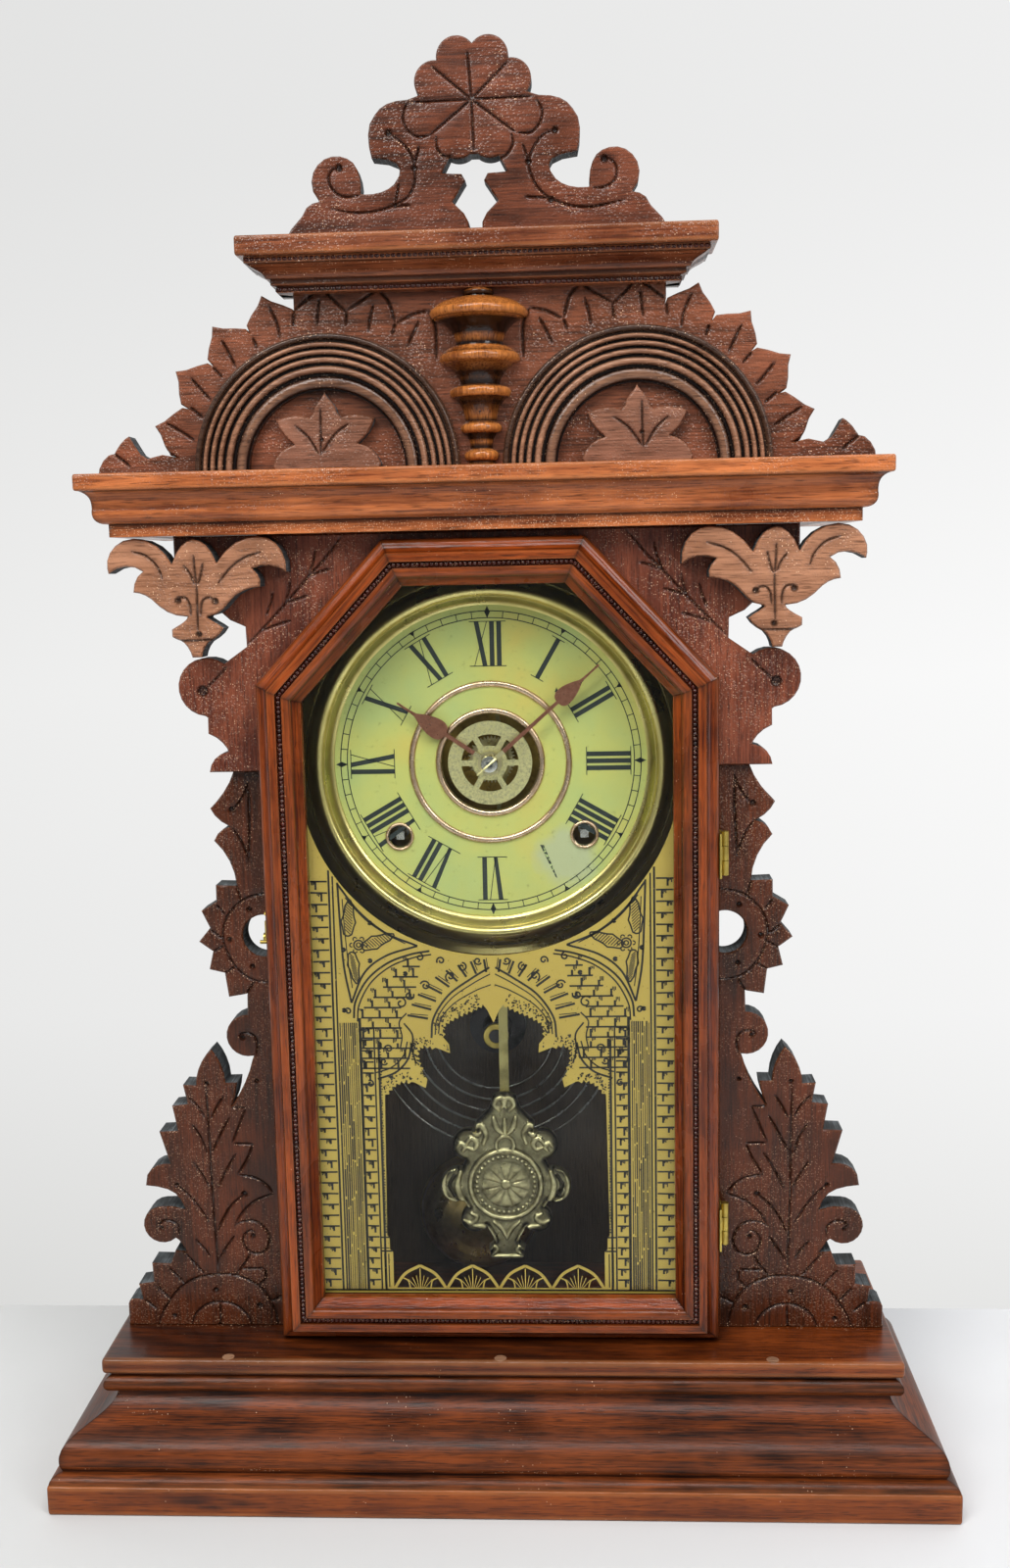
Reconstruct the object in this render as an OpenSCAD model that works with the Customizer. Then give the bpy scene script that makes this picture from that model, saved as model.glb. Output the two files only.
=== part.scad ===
// Victorian carved shelf clock: walnut case, octagon-topped door, brass spring movement, coil gong.
// X is to the right, Y to the back, Z up. The origin is the middle of the underside of the plinth.

/* [Base] */
// Width of the plinth board
base_w = 375; // [366:1:390]
// Depth of the plinth board
base_d = 119; // [117:1:126]
// Thickness of the plinth board
plinth_t = 12.8; // [10:0.2:16]
// Height of the large ogee moulding on the plinth
ogee_h = 39.4; // [36:0.2:44]
// How far the top of the ogee stands in from the edge of the plinth
ogee_in = 25; // [24:0.5:27]
// How far the shelf stands in from the edge of the plinth
shelf_in = 19.8; // [18:0.2:20]
// Thickness of the shelf on the moulding
shelf_t = 6.5; // [5:0.5:9]

/* [Case] */
// Outside width of the case box
case_w = 188; // [186:1:194]
// Thickness of the case sides and top
case_t = 9; // [7:0.5:10]
// Thickness of the back board
back_t = 4; // [3:0.5:6]
// Depth of the case from the face of the carved wings to the back
case_d = 68; // [67:0.5:71]
// Thickness of the carved wings and boards
board_t = 12; // [9:0.5:13]
// Height of the carved wings
wing_h = 245.6; // [240:0.2:250]
// How far the feet of the wings end short of the ends of the shelf
wing_in = 3.1; // [2:0.1:7]
// How far the front board stands forward of the wings
front_step = 4.6; // [4:0.2:6]
// Height of the front board above the wings
front_h = 96.3; // [94:0.1:100]

/* [Cornice and pediment] */
// How far the lower cornice stands forward of the front board
cornice_out = 24; // [22:0.5:28]
// Width of the lower cornice board
cornice_w = 317; // [312:1:322]
// Height of the lower cornice moulding
cornice_h = 17.9; // [15:0.1:21]
// Thickness of the lower cornice board
cornice_t = 6.5; // [5:0.5:9]
// Thickness of the pediment board
pediment_t = 10; // [8:0.5:12]
// Height of the pediment from the cornice to the upper cornice
pediment_h = 69; // [69:0.5:74]
// Outer radius of the two turned arches
arch_r = 53.5; // [51:0.5:54]
// Width of the upper cornice board
top_cornice_w = 185; // [180:1:192]
// Height of the upper cornice moulding
top_cornice_h = 12; // [10:0.5:15]
// Thickness of the upper cornice board
top_cornice_t = 7.5; // [6:0.5:10]
// Thickness of the crest
crest_t = 9; // [7:0.5:11]

/* [Door] */
// Width of the frame members of the door
rail_w = 18.5; // [17:0.5:20]
// Thickness of the door
door_t = 14.5; // [13:0.5:16]
// Height of the sloping corners of the door
door_slope_h = 57; // [53:0.5:60]
// Width of the flat top of the door
door_top_w = 81; // [76:1:88]
// Thickness of the glass
glass_t = 2; // [1.6:0.1:2.4]
// Length of a hinge
hinge_len = 18.4; // [15:0.2:24]
// Radius of a hinge knuckle
knuckle_r = 1.7; // [1.5:0.1:2]

/* [Dial and hands] */
// Height of the hand arbor above the shelf
dial_up = 246.3; // [244:0.1:248]
// How far the dial lies behind the front of the wings
dial_back = 10; // [9:0.2:11]
// Outer radius of the brass bezel
bezel_r = 76; // [74:0.5:77]
// Inner radius of the brass bezel
bezel_in_r = 65.6; // [64:0.2:67]
// Radius of the flange round the bezel
flange_r = 80.2; // [79:0.2:82]
// Radius of the round opening in the dial
dial_hole_r = 20.4; // [20:0.2:22]
// Radius of the raised copper ring on the dial
copper_ring_r = 33; // [31:0.5:36]
// Length of the hour hand
hour_len = 46; // [42:0.5:50]
// Length of the minute hand
minute_len = 61; // [58:0.5:63]
// The time that the hands show, in hours
shown_time = 10.135; // [0:0.005:12]
// Radius of the alarm setting disc
alarm_r = 17.6; // [16:0.2:18.4]

/* [Movement] */
// Space between the plates
plate_gap = 28; // [28:0.5:30]
// Thickness of the plates
plate_t = 1.6; // [1.4:0.1:2]
// Width of the plates
plate_w = 104; // [100:1:112]
// How far the front plate lies behind the dial
plate_back = 16; // [15.8:0.1:17]
// Sideways distance from the hand arbor to a winding arbor
wind_x = 39; // [38:0.2:40]
// Distance from the hand arbor down to a winding arbor
wind_drop = 31; // [30:0.2:32]
// Radius of a winding arbor
wind_r = 2.6; // [2.3:0.1:2.8]
// Turns of a mainspring
spring_turns = 7; // [5:1:8]

/* [Pendulum and gong] */
// Distance from the pendulum's pivot to the middle of its bob
pendulum_len = 242; // [236:1:246]
// Width of the bob
bob_w = 57; // [50:1:60]
// Height of the bob
bob_h = 76; // [70:1:80]
// Swing of the pendulum to each side
swing = 2.2; // [1.5:0.1:2.4]
// Turns of the coil gong
gong_turns = 6; // [4:1:7]
// Radius of the innermost turn of the gong
gong_in_r = 24; // [22:0.5:26]
// Radius of the outermost turn of the gong
gong_out_r = 57; // [54:0.5:60]
// Radius of the gong wire
wire_r = 0.8; // [0.6:0.1:1]
// Radius of the alarm bell
bell_r = 27; // [24:0.5:28]

/* [Hidden] */
$fn = 64;

walnut = "#6b3a26";
dark_walnut = "#54301f";
orange_wood = "#9a5228";
tan_wood = "#9b6b43";
brass = "#b59a4a";
steel = "#8f9092";

// Running clearance of a pivot, and the gap between pieces that pass each other
fit = 0.05;
gap = 0.3;
eps = 0.01;

// Heights
ogee_z = plinth_t;
shelf_z = ogee_z + ogee_h;
floor_z = shelf_z + shelf_t;
seam_z = floor_z + wing_h;
cornice_z = seam_z + front_h;
cornice_board_z = cornice_z + cornice_h;
pediment_z = cornice_board_z + cornice_t;
top_cornice_z = pediment_z + pediment_h;
top_board_z = top_cornice_z + top_cornice_h;
crest_z = top_board_z + top_cornice_t;
dial_z = floor_z + dial_up;

// Planes, from the front
base_y = -base_d/2;
back_y = base_d/2;
wing_y = back_y - case_d;
front_y = wing_y - front_step;
cornice_y = front_y - cornice_out;
pediment_y = wing_y - 2;
door_back_y = front_y - gap;
door_y = door_back_y - door_t;
dial_y = wing_y + dial_back;
plate_y = dial_y + plate_back;
inner_y = plate_y + plate_t;
outer_y = inner_y + plate_gap;
board_in_y = back_y - back_t;

half = case_w/2;
shelf_half = base_w/2 - shelf_in;
wing_reach = shelf_half - wing_in - half;

// Helpers

// Points on an arc
function arc(c, r, a0, a1, n = 8) =
    [for (i = [0:n]) let (a = a0 + (a1 - a0)*i/n) c + r*[cos(a), sin(a)]];
// Points on a curve that leaves a towards b and comes into d from c
function bez(a, b, c, d, n = 6) =
    [for (i = [0:n]) let (t = i/n, s = 1 - t) s*s*s*a + 3*s*s*t*b + 3*s*t*t*c + t*t*t*d];
function unit(v) = v/norm(v);
function left(v) = [-v[1], v[0]];
function stretch(pts, sx, sz) = [for (p = pts) [p[0]*sx, p[1]*sz]];
function mirrored(pts) = [for (i = [len(pts) - 1:-1:0]) [-pts[i][0], pts[i][1]]];
// Meeting point of two circles, on the left of the line from a to b
function meet(a, ra, b, rb) =
    let (d = norm(b - a), u = (b - a)/d, s = (ra*ra - rb*rb + d*d)/(2*d))
    a + u*s + left(u)*sqrt(ra*ra - s*s);
function angle(a, b) = atan2(b[1] - a[1], b[0] - a[0]);

// A flat shape drawn in X and Z, standing from plane y back by t
module upright(y, t) {
    translate([0, y + t, 0]) rotate([90, 0, 0]) linear_extrude(height = t) children();
}
// A block given by its lowest and highest corners
module block(a, b) { translate(a) cube(b - a); }
module both() { children(); mirror([1, 0, 0]) children(); }
// A rod along Y at x and z
module rod(x, z, r, y0, y1) {
    translate([x, y1, z]) rotate([90, 0, 0]) cylinder(h = y1 - y0, r = r);
}
// Half the glue line of a mitre, taken off the end of each length
mitre_gap = 0.05;
// A moulding carried along a plan path in mitred lengths; the profile's x is inwards
module mitred(path, prof, z0, z1, reach = 30, closed = false) {
    n = len(path);
    for (i = [0:(closed ? n - 1 : n - 2)]) {
        a = path[i];
        b = path[(i + 1)%n];
        t = unit(b - a);
        mitre_a = i > 0 || closed;
        mitre_b = i < n - 2 || closed;
        before = mitre_a ? unit(a - path[(i + n - 1)%n]) : t;
        after = mitre_b ? unit(path[(i + 2)%n] - b) : t;
        ba = unit(left(before) + left(t));
        bb = unit(left(t) + left(after));
        ka = reach/(ba*left(t));
        kb = reach/(bb*left(t));
        ca = a + t*(mitre_a ? mitre_gap : 0);
        cb = b - t*(mitre_b ? mitre_gap : 0);
        intersection() {
            translate([a[0], a[1], 0]) rotate([0, 0, atan2(t[1], t[0]) + 90])
                translate([0, reach, 0]) rotate([90, 0, 0])
                linear_extrude(height = norm(b - a) + 2*reach) polygon(prof);
            translate([0, 0, z0]) linear_extrude(height = z1 - z0)
                polygon([ca - ba*ka*0.1, cb - bb*kb*0.1, cb + bb*kb, ca + ba*ka]);
        }
    }
}

// Base

module plinth_board() {
    corner = 3;
    color(orange_wood) linear_extrude(height = plinth_t) polygon(concat(
        [[-base_w/2, back_y]],
        arc([-base_w/2 + corner, base_y + corner], corner, 180, 270, 4),
        arc([base_w/2 - corner, base_y + corner], corner, 270, 360, 4),
        [[base_w/2, back_y]]));
}

ogee_core = ogee_in + 9;
bead_r = 3.8;
ogee_profile = concat(
    bez([0.8, 0], [0.8, 2], [2.5, 3.6], [5.4, 3.8], 4),
    bez([5.4, 4.2], [4.2, 6], [3.6, 11], [6.4, 14.6], 6),
    bez([6.4, 14.6], [11, 20.5], [ogee_in - 1, ogee_h - 18], [ogee_in, ogee_h - 9.2], 8),
    arc([ogee_in - 1.2, ogee_h - 9.2 + bead_r], bead_r, -100, -260, 8),
    [[ogee_in - 2.2, ogee_h - 1.6], [ogee_in - 2.2, ogee_h], [ogee_core, ogee_h], [ogee_core, 0]]);
module base_moulding() {
    color(walnut) translate([0, 0, ogee_z])
        mitred([[-base_w/2, back_y], [-base_w/2, base_y], [base_w/2, base_y], [base_w/2, back_y]],
            ogee_profile, -1, ogee_h + 1, ogee_core + 2);
}

module base_back_rail() {
    x = base_w/2 - ogee_core;
    color(dark_walnut) block([-x, back_y - 12, ogee_z], [x, back_y, shelf_z]);
}

module base_shelf() {
    color(orange_wood) block([-shelf_half, base_y + shelf_in, shelf_z], [shelf_half, back_y, floor_z]);
}

// Case

case_front_y = front_y + board_t;
module case_sides() {
    color(dark_walnut) difference() {
        both() block([half - case_t, front_y, floor_z], [half, board_in_y, cornice_board_z]);
        both() block([half - case_t - 1, front_y - 1, seam_z], [half + 1, case_front_y, cornice_board_z + 1]);
        catch_rod(catch_y, catch_screw_r, 1);
    }
}
module case_top() {
    color(dark_walnut) block([case_t - half, case_front_y, cornice_board_z - case_t],
        [half - case_t, board_in_y, cornice_board_z]);
}
module back_board() {
    color("#6e4a30") block([-half, board_in_y, floor_z], [half, back_y, cornice_board_z]);
}

// Wings

// Outline beside the case, up from the shelf: x from the case, z from the shelf
wing_outline = concat(
    [[0, 0], [70.4, 0], [70.3, 9.6]], bez([69.8, 10.8], [69, 12], [67.2, 12.4], [63.6, 11.4], 3),
    [[65.2, 18.8], [58.4, 19.8], [58.8, 28.6], [50.4, 28.4]],
    [[48, 34.6], [43, 33.8], [46.2, 39]],
    arc([53.2, 46.3], 8.3, -132, 88, 12),
    bez([52.6, 54.6], [48.5, 55.6], [44.8, 53.6], [42.6, 53.2], 3),
    bez([44.6, 57.8], [47, 62.2], [52, 63.6], [59.6, 64.2], 4),
    bez([58.8, 69], [56.4, 73.6], [52, 74.4], [48.2, 74], 4),
    [[49.2, 77.2], [52.4, 88.6], [44.2, 89], [46.2, 100.2], [39.4, 101], [41, 109.6], [35.2, 109.3]],
    bez([35.2, 112.2], [34, 118], [31.4, 122.6], [27.9, 125.4], 4),
    bez([27.9, 125.4], [24.8, 121.6], [22.6, 116], [22.4, 110.5], 4),
    [[17.4, 110.6]], bez([17.4, 110.6], [17.8, 106.6], [18.6, 103.4], [20.2, 100.3], 3),
    bez([19.6, 100.8], [15.6, 106.4], [11.6, 114.6], [10.4, 120.3], 4),
    arc([11.8, 131.4], 9.2, -104, 92, 12),
    [[11.2, 149.8], [19.1, 148.5], [20.4, 159]], [[26.9, 160.6], [25, 168.4], [30.8, 172.7]],
    [[25.8, 178.6], [29.2, 186], [22.6, 190], [22.5, 197], [13.5, 196.7]],
    bez([13.5, 196.7], [14, 204], [17, 211], [22.3, 216], 4),
    bez([22.3, 216], [20.8, 219.6], [18.6, 221.4], [15.2, 221.9], 3),
    bez([15.2, 221.9], [19.5, 224], [21.8, 226.4], [23.3, 229.7], 3),
    bez([23.3, 229.7], [19.4, 233.6], [15, 238.4], [12.6, 245.6], 4), [[0, 245.6]]);
rosette = [2.9, 175.1];
rosette_r = 9;

module wing(side) {
    sx = wing_reach/70.6;
    sz = wing_h/245.6;
    mirror([side < 0 ? 1 : 0, 0, 0]) difference() {
        upright(wing_y, board_t) translate([half, floor_z]) polygon(stretch(wing_outline, sx, sz));
        rod(half + rosette[0]*sx, floor_z + rosette[1]*sz, rosette_r, wing_y - 1, wing_y + board_t + 1);
    }
}
module wing_left() { color(walnut) wing(-1); }
module wing_right() { color(walnut) wing(1); }

// Front board with the octagon opening: x from the middle, z above the wings

ball = [114.9, 35.2];
ball_r = 12;
front_outline = concat(
    [[115.6, 0]], bez([115.6, 0], [115.2, 4], [112.6, 7.6], [107.4, 8.4], 4),
    bez([107.9, 9.8], [109.2, 12], [111.6, 14.6], [115.4, 16], 3), [[115.3, 22.6]],
    arc(ball, ball_r, -84, 128, 14),
    [[97.8, 51.4], [98, 59.6], [104.2, 62.4], [111, 68.6], [121, 76], [126, 84], [126, 96.3]]);
// Inside edge of the case opening, a little inside the door
opening_in = 9;
door_half = half - 0.5;
door_z0 = floor_z + 1.2;
door_z1 = cornice_z - 3;
door_slope = door_slope_h/(door_half - door_top_w/2);
// Outline of the door, drawn in by inset
function octagon(inset) =
    let (w = door_half - inset, z0 = door_z0 + inset, z1 = door_z1 - inset,
        top = door_top_w/2 - inset*(sqrt(1 + door_slope*door_slope) - 1)/door_slope,
        corner_z = z1 - (w - top)*door_slope)
    [[w, z0], [w, corner_z], [top, z1], [-top, z1], [-w, corner_z], [-w, z0]];

module front_board() {
    sz = front_h/96.3;
    sx = (half + 32)/126;
    pts = stretch(front_outline, sx, sz);
    color(walnut) upright(front_y, board_t) difference() {
        translate([0, seam_z]) polygon(concat(pts, mirrored(pts)));
        polygon(octagon(opening_in));
    }
}

// Applied brackets under the cornice: x from the middle, z down from the cornice

bracket_t = 11;
bracket_outline = concat(
    bez([104.6, -36.4], [106, -39], [108.4, -40.6], [111, -42], 3),
    bez([111, -42], [113, -44], [113.6, -46], [114, -48], 3), [[117.8, -48]],
    bez([117.8, -48], [118.2, -46], [119.4, -43.6], [121, -42], 3),
    bez([121, -42], [122.8, -41], [124.6, -40.4], [125.6, -39.6], 3), [[125.6, -36.6]],
    bez([122.7, -35], [120.6, -33.8], [118.9, -32.6], [119, -31.6], 3),
    bez([119.4, -31.6], [125.6, -31.4], [129, -29], [133.4, -24.4], 4),
    bez([133.4, -24.4], [135.6, -22.6], [138, -21.8], [140.5, -21.6], 3),
    bez([140.5, -21.6], [140.4, -18], [139, -15], [136.2, -13.4], 3),
    bez([136.2, -13.4], [140, -10.4], [145.6, -10.6], [150.2, -14], 4),
    bez([150.6, -12], [151.4, -7], [147, -0.3], [139.3, -0.3], 5),
    bez([139.3, -0.3], [132.4, -0.4], [127, -5], [124.4, -10.6], 4),
    bez([124.4, -10.6], [122, -4], [118.4, -1.2], [115.3, -1], 4),
    bez([115.3, -1], [112, -1.2], [108.4, -4], [106.3, -10.6], 4),
    bez([106.3, -10.6], [101.6, -3.6], [95.6, 0], [89, -0.3], 4),
    bez([89, -0.3], [82.6, -0.4], [77.6, -7], [78.4, -14.6], 5),
    bez([78.4, -14.6], [82, -11.6], [88, -11], [92, -13], 4),
    bez([92, -13], [89.4, -15.6], [88.4, -17.6], [89.2, -20.2], 3),
    bez([89.2, -20.2], [94, -20.6], [98.6, -21.8], [102.2, -26.4], 4),
    bez([102.2, -26.4], [104, -29], [107, -31.4], [110.6, -31.6], 3),
    bez([110.9, -32.2], [108.6, -34], [106, -35], [104.6, -36.4], 3));
module bracket(side) {
    sx = (half + 32)/126;
    mirror([side < 0 ? 1 : 0, 0, 0]) upright(front_y - bracket_t, bracket_t)
        translate([0, cornice_z - gap]) polygon(stretch(bracket_outline, sx, 1));
}
module bracket_left() { color(tan_wood) bracket(-1); }
module bracket_right() { color(tan_wood) bracket(1); }

// Lower cornice

module cornice_board() {
    color(orange_wood) block([-cornice_w/2, cornice_y, cornice_board_z], [cornice_w/2, back_y, pediment_z]);
}
fascia_in = 10.5;
cornice_profile = concat(
    [[fascia_in, 0], [fascia_in, 5]],
    bez([8.6, 5.2], [5.6, 6], [5.2, 8.6], [5.6, 11], 5),
    bez([5.6, 11], [5.6, 14.6], [5, cornice_h - 1.4], [1.8, cornice_h], 5),
    [[cornice_out - 0.5, cornice_h], [cornice_out - 0.5, 0]]);
cornice_path = [[-cornice_w/2, back_y], [-cornice_w/2, cornice_y],
    [cornice_w/2, cornice_y], [cornice_w/2, back_y]];
module cornice_moulding() {
    color(walnut) translate([0, 0, cornice_z])
        mitred(cornice_path, cornice_profile, -1, cornice_h + 1, cornice_out + 4);
}

// Pediment: a board cut as two sunbursts, with turned arches laid on it

arch_x = 61.8;
arch_up = 1;
burst_r = 61.4;
leaf_r = 72.4;
leaf_step = 18.4;
leaf_first = 15;
leaves = 4;
// One leaf of the sunburst: from the notch before it to its tip
function burst_leaf(i) =
    let (a = leaf_first + leaf_step*i, c = [arch_x, arch_up],
        d = leaf_step/2, p = c + burst_r*[cos(a - d), sin(a - d)],
        q = c + leaf_r*[cos(a), sin(a)], r = c + burst_r*[cos(a + d), sin(a + d)])
    concat(bez(p, p + [cos(a - 30), sin(a - 30)]*6, q - [cos(a + 25), sin(a + 25)]*5, q, 4),
        bez(q, q - [cos(a - 25), sin(a - 25)]*5, r + [cos(a + 40), sin(a + 40)]*4, r, 4));
pediment_outline = concat(
    bez([156, 0], [156.4, 4.6], [152, 9.6], [149, 9.4], 4),
    bez([149, 9.4], [146, 14], [144, 15.4], [142.6, 16], 3),
    bez([142.6, 16], [140.4, 13], [139, 7.4], [135.4, 7], 3),
    [[129.4, 8.4]],
    [for (i = [0:leaves - 1]) each burst_leaf(i)]);
module pediment_board() {
    sz = pediment_h/69;
    sx = cornice_w/317;
    top_x = 73.6*sx;
    pts = concat(stretch(pediment_outline, sx, sz),
        [[top_x, 63.4*sz], [top_x, top_board_z - pediment_z]]);
    color(walnut) upright(pediment_y, pediment_t) translate([0, pediment_z])
        polygon(concat(pts, mirrored(pts)));
}

ring_t = 7;
arch_in_r = arch_r - 22;
// Ridges of the turned arch: radius from the outside, height
ridges = concat([[0, 0], [0, 2.4], [1.4, 3]], bez([2.6, 3], [3.4, 4.6], [4, 6.4], [4.6, 6.6], 3),
    arc([7, 4.4], 2.6, 120, 20, 4), [[9.4, 3.8]], arc([11.2, 3.6], 1.9, 150, 20, 4), [[13.2, 3]],
    arc([14.8, 2.8], 1.8, 150, 20, 4), [[16.8, 2.6]], arc([18.8, 1.6], 2.2, 140, 40, 4), [[22, 2], [22, 0]]);
module pediment_arches() {
    sx = cornice_w/317;
    color(orange_wood) both() translate([arch_x*sx, pediment_y, pediment_z]) intersection() {
        rotate([90, 0, 0]) rotate_extrude($fn = 96) polygon([for (p = ridges) [arch_r - p[0], p[1]]]);
        block([-arch_r - 1, -ring_t - 1, 0], [arch_r + 1, 1, arch_r + 1]);
    }
}

leaf_t = 5;
// Half of the five-pointed leaf, from the tip down
leaf_half = concat(
    bez([0, 30.4], [1.6, 27.4], [4.6, 26], [4.8, 22.6], 4),
    bez([6.4, 20.8], [10, 22.6], [14.6, 22], [19.6, 20.2], 4),
    bez([19.6, 20.2], [18.6, 16], [16.4, 13.6], [12.8, 10.6], 4),
    bez([12.8, 10.6], [17, 10], [20.6, 6.6], [21.8, 2.6], 4), [[20.8, 0]]);
module pediment_leaves() {
    sx = cornice_w/317;
    color(walnut) both() translate([arch_x*sx, 0, pediment_z]) upright(pediment_y - leaf_t, leaf_t)
        scale(arch_r/53.5) polygon(concat(leaf_half, mirrored(leaf_half)));
}

// Half-round turned spindle between the arches: radius, height
spindle_r = 19.5;
spindle_profile = concat([[0, 0], [5.2, 0], [5.2, 2.4]], arc([4.6, 4.7], 2.3, -70, 60, 4),
    bez([4.5, 7.6], [4.4, 9.6], [4.9, 11.6], [6.2, 13.3], 3), arc([6.2, 15.4], 2.05, -70, 60, 4),
    bez([6.3, 18.2], [6.6, 22], [8, 24.8], [10.2, 27], 4), arc([10.2, 29.2], 2.15, -70, 60, 4),
    bez([7.8, 32.2], [8.2, 35.6], [10.4, 38.2], [14, 40.2], 4), arc([14, 42.3], 2.1, -80, 50, 4),
    bez([15, 44.2], [13.4, 46], [11.6, 46.6], [9.5, 47.2], 3),
    bez([9.4, 48], [9.6, 51.4], [12, 55.2], [17.4, 57.4], 4), arc([17.4, 59.5], 2.1, -80, 50, 4),
    bez([18.4, 61.4], [15.4, 64.2], [10, 65.4], [5.4, 65.9], 4), arc([4.6, 67.5], 1.5, -60, 90, 4), [[0, 69]]);
module spindle() {
    s = pediment_h/69;
    color("#b0702e") translate([0, pediment_y, pediment_z]) intersection() {
        rotate_extrude() polygon([for (p = spindle_profile) [p[0], p[1]*s]]);
        block([-spindle_r - 1, -spindle_r - 1, 0], [spindle_r + 1, 0, pediment_h]);
    }
}

// Upper cornice

top_out = 19;
top_y = pediment_y - top_out;
top_back_y = pediment_y + pediment_t;
module top_cornice_board() {
    color(orange_wood) block([-top_cornice_w/2, top_y, top_board_z],
        [top_cornice_w/2, top_back_y, crest_z]);
}
top_core_x = 73.6*cornice_w/317;
top_side = top_cornice_w/2 - top_core_x;
top_profile = concat(
    [[top_out - 5.4, 0], [top_out - 5.4, 2.2], [top_out - 7.4, 2.6], [top_out - 7.4, 4.6]],
    bez([top_out - 9, 4.8], [top_out - 9.6, 7.4], [5.6, 7.8], [3.8, top_cornice_h - 2.6], 5),
    [[3, top_cornice_h - 2.4], [3, top_cornice_h], [top_out - 0.1, top_cornice_h], [top_out - 0.1, 0]]);
module top_cornice_moulding() {
    x = top_core_x + top_out;
    color(walnut) translate([0, 0, top_cornice_z])
        mitred([[-x, top_back_y], [-x, top_y], [x, top_y], [x, top_back_y]],
            top_profile, -1, top_cornice_h + 1, top_out + 4);
}

// Crest: an eight-petalled flower on two scrolled brackets; z above the upper cornice

flower_z = 49.8;
petal_r = 7.7;
petal_out = 15.9;
crest_outline = concat(
    [[74, 0], [71.8, 3.6], [67.4, 8.2]], bez([67.4, 8.2], [66, 12.4], [63, 13.2], [60.6, 13.4], 3),
    bez([60.6, 13.8], [64.6, 18], [63.6, 24], [60.6, 27], 4),
    bez([60.6, 27], [56.6, 31.4], [50, 30.6], [46.8, 27.4], 5),
    bez([46.8, 27.4], [44.4, 24.6], [43.4, 19], [44.2, 15.9], 4),
    bez([43.4, 15.6], [38, 15.2], [33.6, 16.6], [31.2, 19], 4),
    bez([31.2, 19], [28.4, 22], [27.8, 25], [30, 26.4], 3),
    [[33.8, 28], [39.6, 28.8]], bez([39.6, 28.8], [41, 34], [41.6, 41], [38, 44.4], 4),
    bez([38, 44.4], [35.6, 48], [32, 49.6], [25, 49.7], 4), [[18, 52]]);
crest_cut = [[2.6, -1], [2.6, 4], [4.4, 7.4], [8.8, 11.7], [3.6, 19.4], [5, 21.9], [12.6, 22.3], [9, 29]];
module crest() {
    y = (top_y + top_back_y)/2 - crest_t/2;
    s = top_cornice_w/185;
    color(walnut) upright(y, crest_t) translate([0, crest_z]) {
        difference() {
            polygon(stretch(concat(crest_outline, mirrored(crest_outline)), s, s));
            polygon(stretch(concat(crest_cut, mirrored(crest_cut)), s, s));
        }
        translate([0, flower_z*s]) {
            circle(r = petal_out*s);
            for (a = [22.5:45:360]) translate(petal_out*s*[cos(a), sin(a)]) circle(r = petal_r*s);
        }
    }
}

// Door

// Profile of the frame: x inwards from the edge, z forward from the back
glass_seat = 5;
rebate = 3;
rail_profile = concat(
    [[0, 0], [0, glass_seat]],
    bez([0, glass_seat], [-0.1, 7.4], [0.6, 9.2], [2.2, 9.6], 4),
    bez([2.2, 9.6], [4.6, 10], [5.2, 12], [5.8, door_t], 4),
    [[9, door_t], [9, door_t - 1.8], [11.4, door_t - 1.8], [11.6, door_t - 0.4]],
    bez([11.6, door_t - 0.4], [13.6, door_t], [15, door_t - 0.6], [15.2, door_t - 1.8], 3),
    [[rail_w, 8.6], [rail_w, glass_seat], [rail_w - rebate, glass_seat], [rail_w - rebate, 0]]);
module door_frame() {
    color(orange_wood) difference() {
        translate([0, door_back_y, 0]) rotate([90, 0, 0])
            mitred(octagon(0), rail_profile, -1, door_t + 1, rail_w + 1, true);
        catch_rod(catch_pin_y, catch_pin_r, 1);
    }
}
module door_glass() {
    color("#cfd8d6", 0.4) upright(door_back_y - glass_seat, glass_t)
        polygon(octagon(rail_w - rebate + gap));
}
strip_t = glass_seat - glass_t;
module glass_strips() {
    color(dark_walnut) upright(door_back_y - strip_t, strip_t) difference() {
        polygon(octagon(rail_w - rebate));
        polygon(octagon(rail_w - rebate + 2.5));
    }
}

// Hinges on the right edge: barrels with the pin at hinge_x, hinge_y

hinge_x = half + 2.2;
hinge_y = door_back_y - 0.6;
hinge_zs = [floor_z + 50, floor_z + 209.5];
hinge_pin_r = 0.7;
leaf = 0.8;
knuckle_gap = 0.1;
third = hinge_len/3;
module knuckle(z0, z1, bore) {
    translate([hinge_x, hinge_y, z0]) difference() {
        cylinder(h = z1 - z0, r = knuckle_r);
        translate([0, 0, -1]) cylinder(h = z1 - z0 + 2, r = bore);
    }
}
module hinge_case_leaves() {
    color(brass) for (z = hinge_zs) {
        z0 = z - hinge_len/2;
        difference() {
            union() {
                block([half, front_y + 0.2, z0], [half + leaf, wing_y - gap, z0 + hinge_len]);
                for (k = [0, 2]) block([half, hinge_y - 0.4, z0 + k*third],
                    [hinge_x - hinge_pin_r - 0.3, front_y + 0.6, z0 + (k + 1)*third - knuckle_gap]);
            }
            translate([hinge_x, hinge_y, z0 - 1]) cylinder(h = hinge_len + 2, r = knuckle_r - 0.2);
        }
        for (k = [0, 2]) knuckle(z0 + k*third, z0 + (k + 1)*third - knuckle_gap, hinge_pin_r + 0.02);
    }
}
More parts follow.
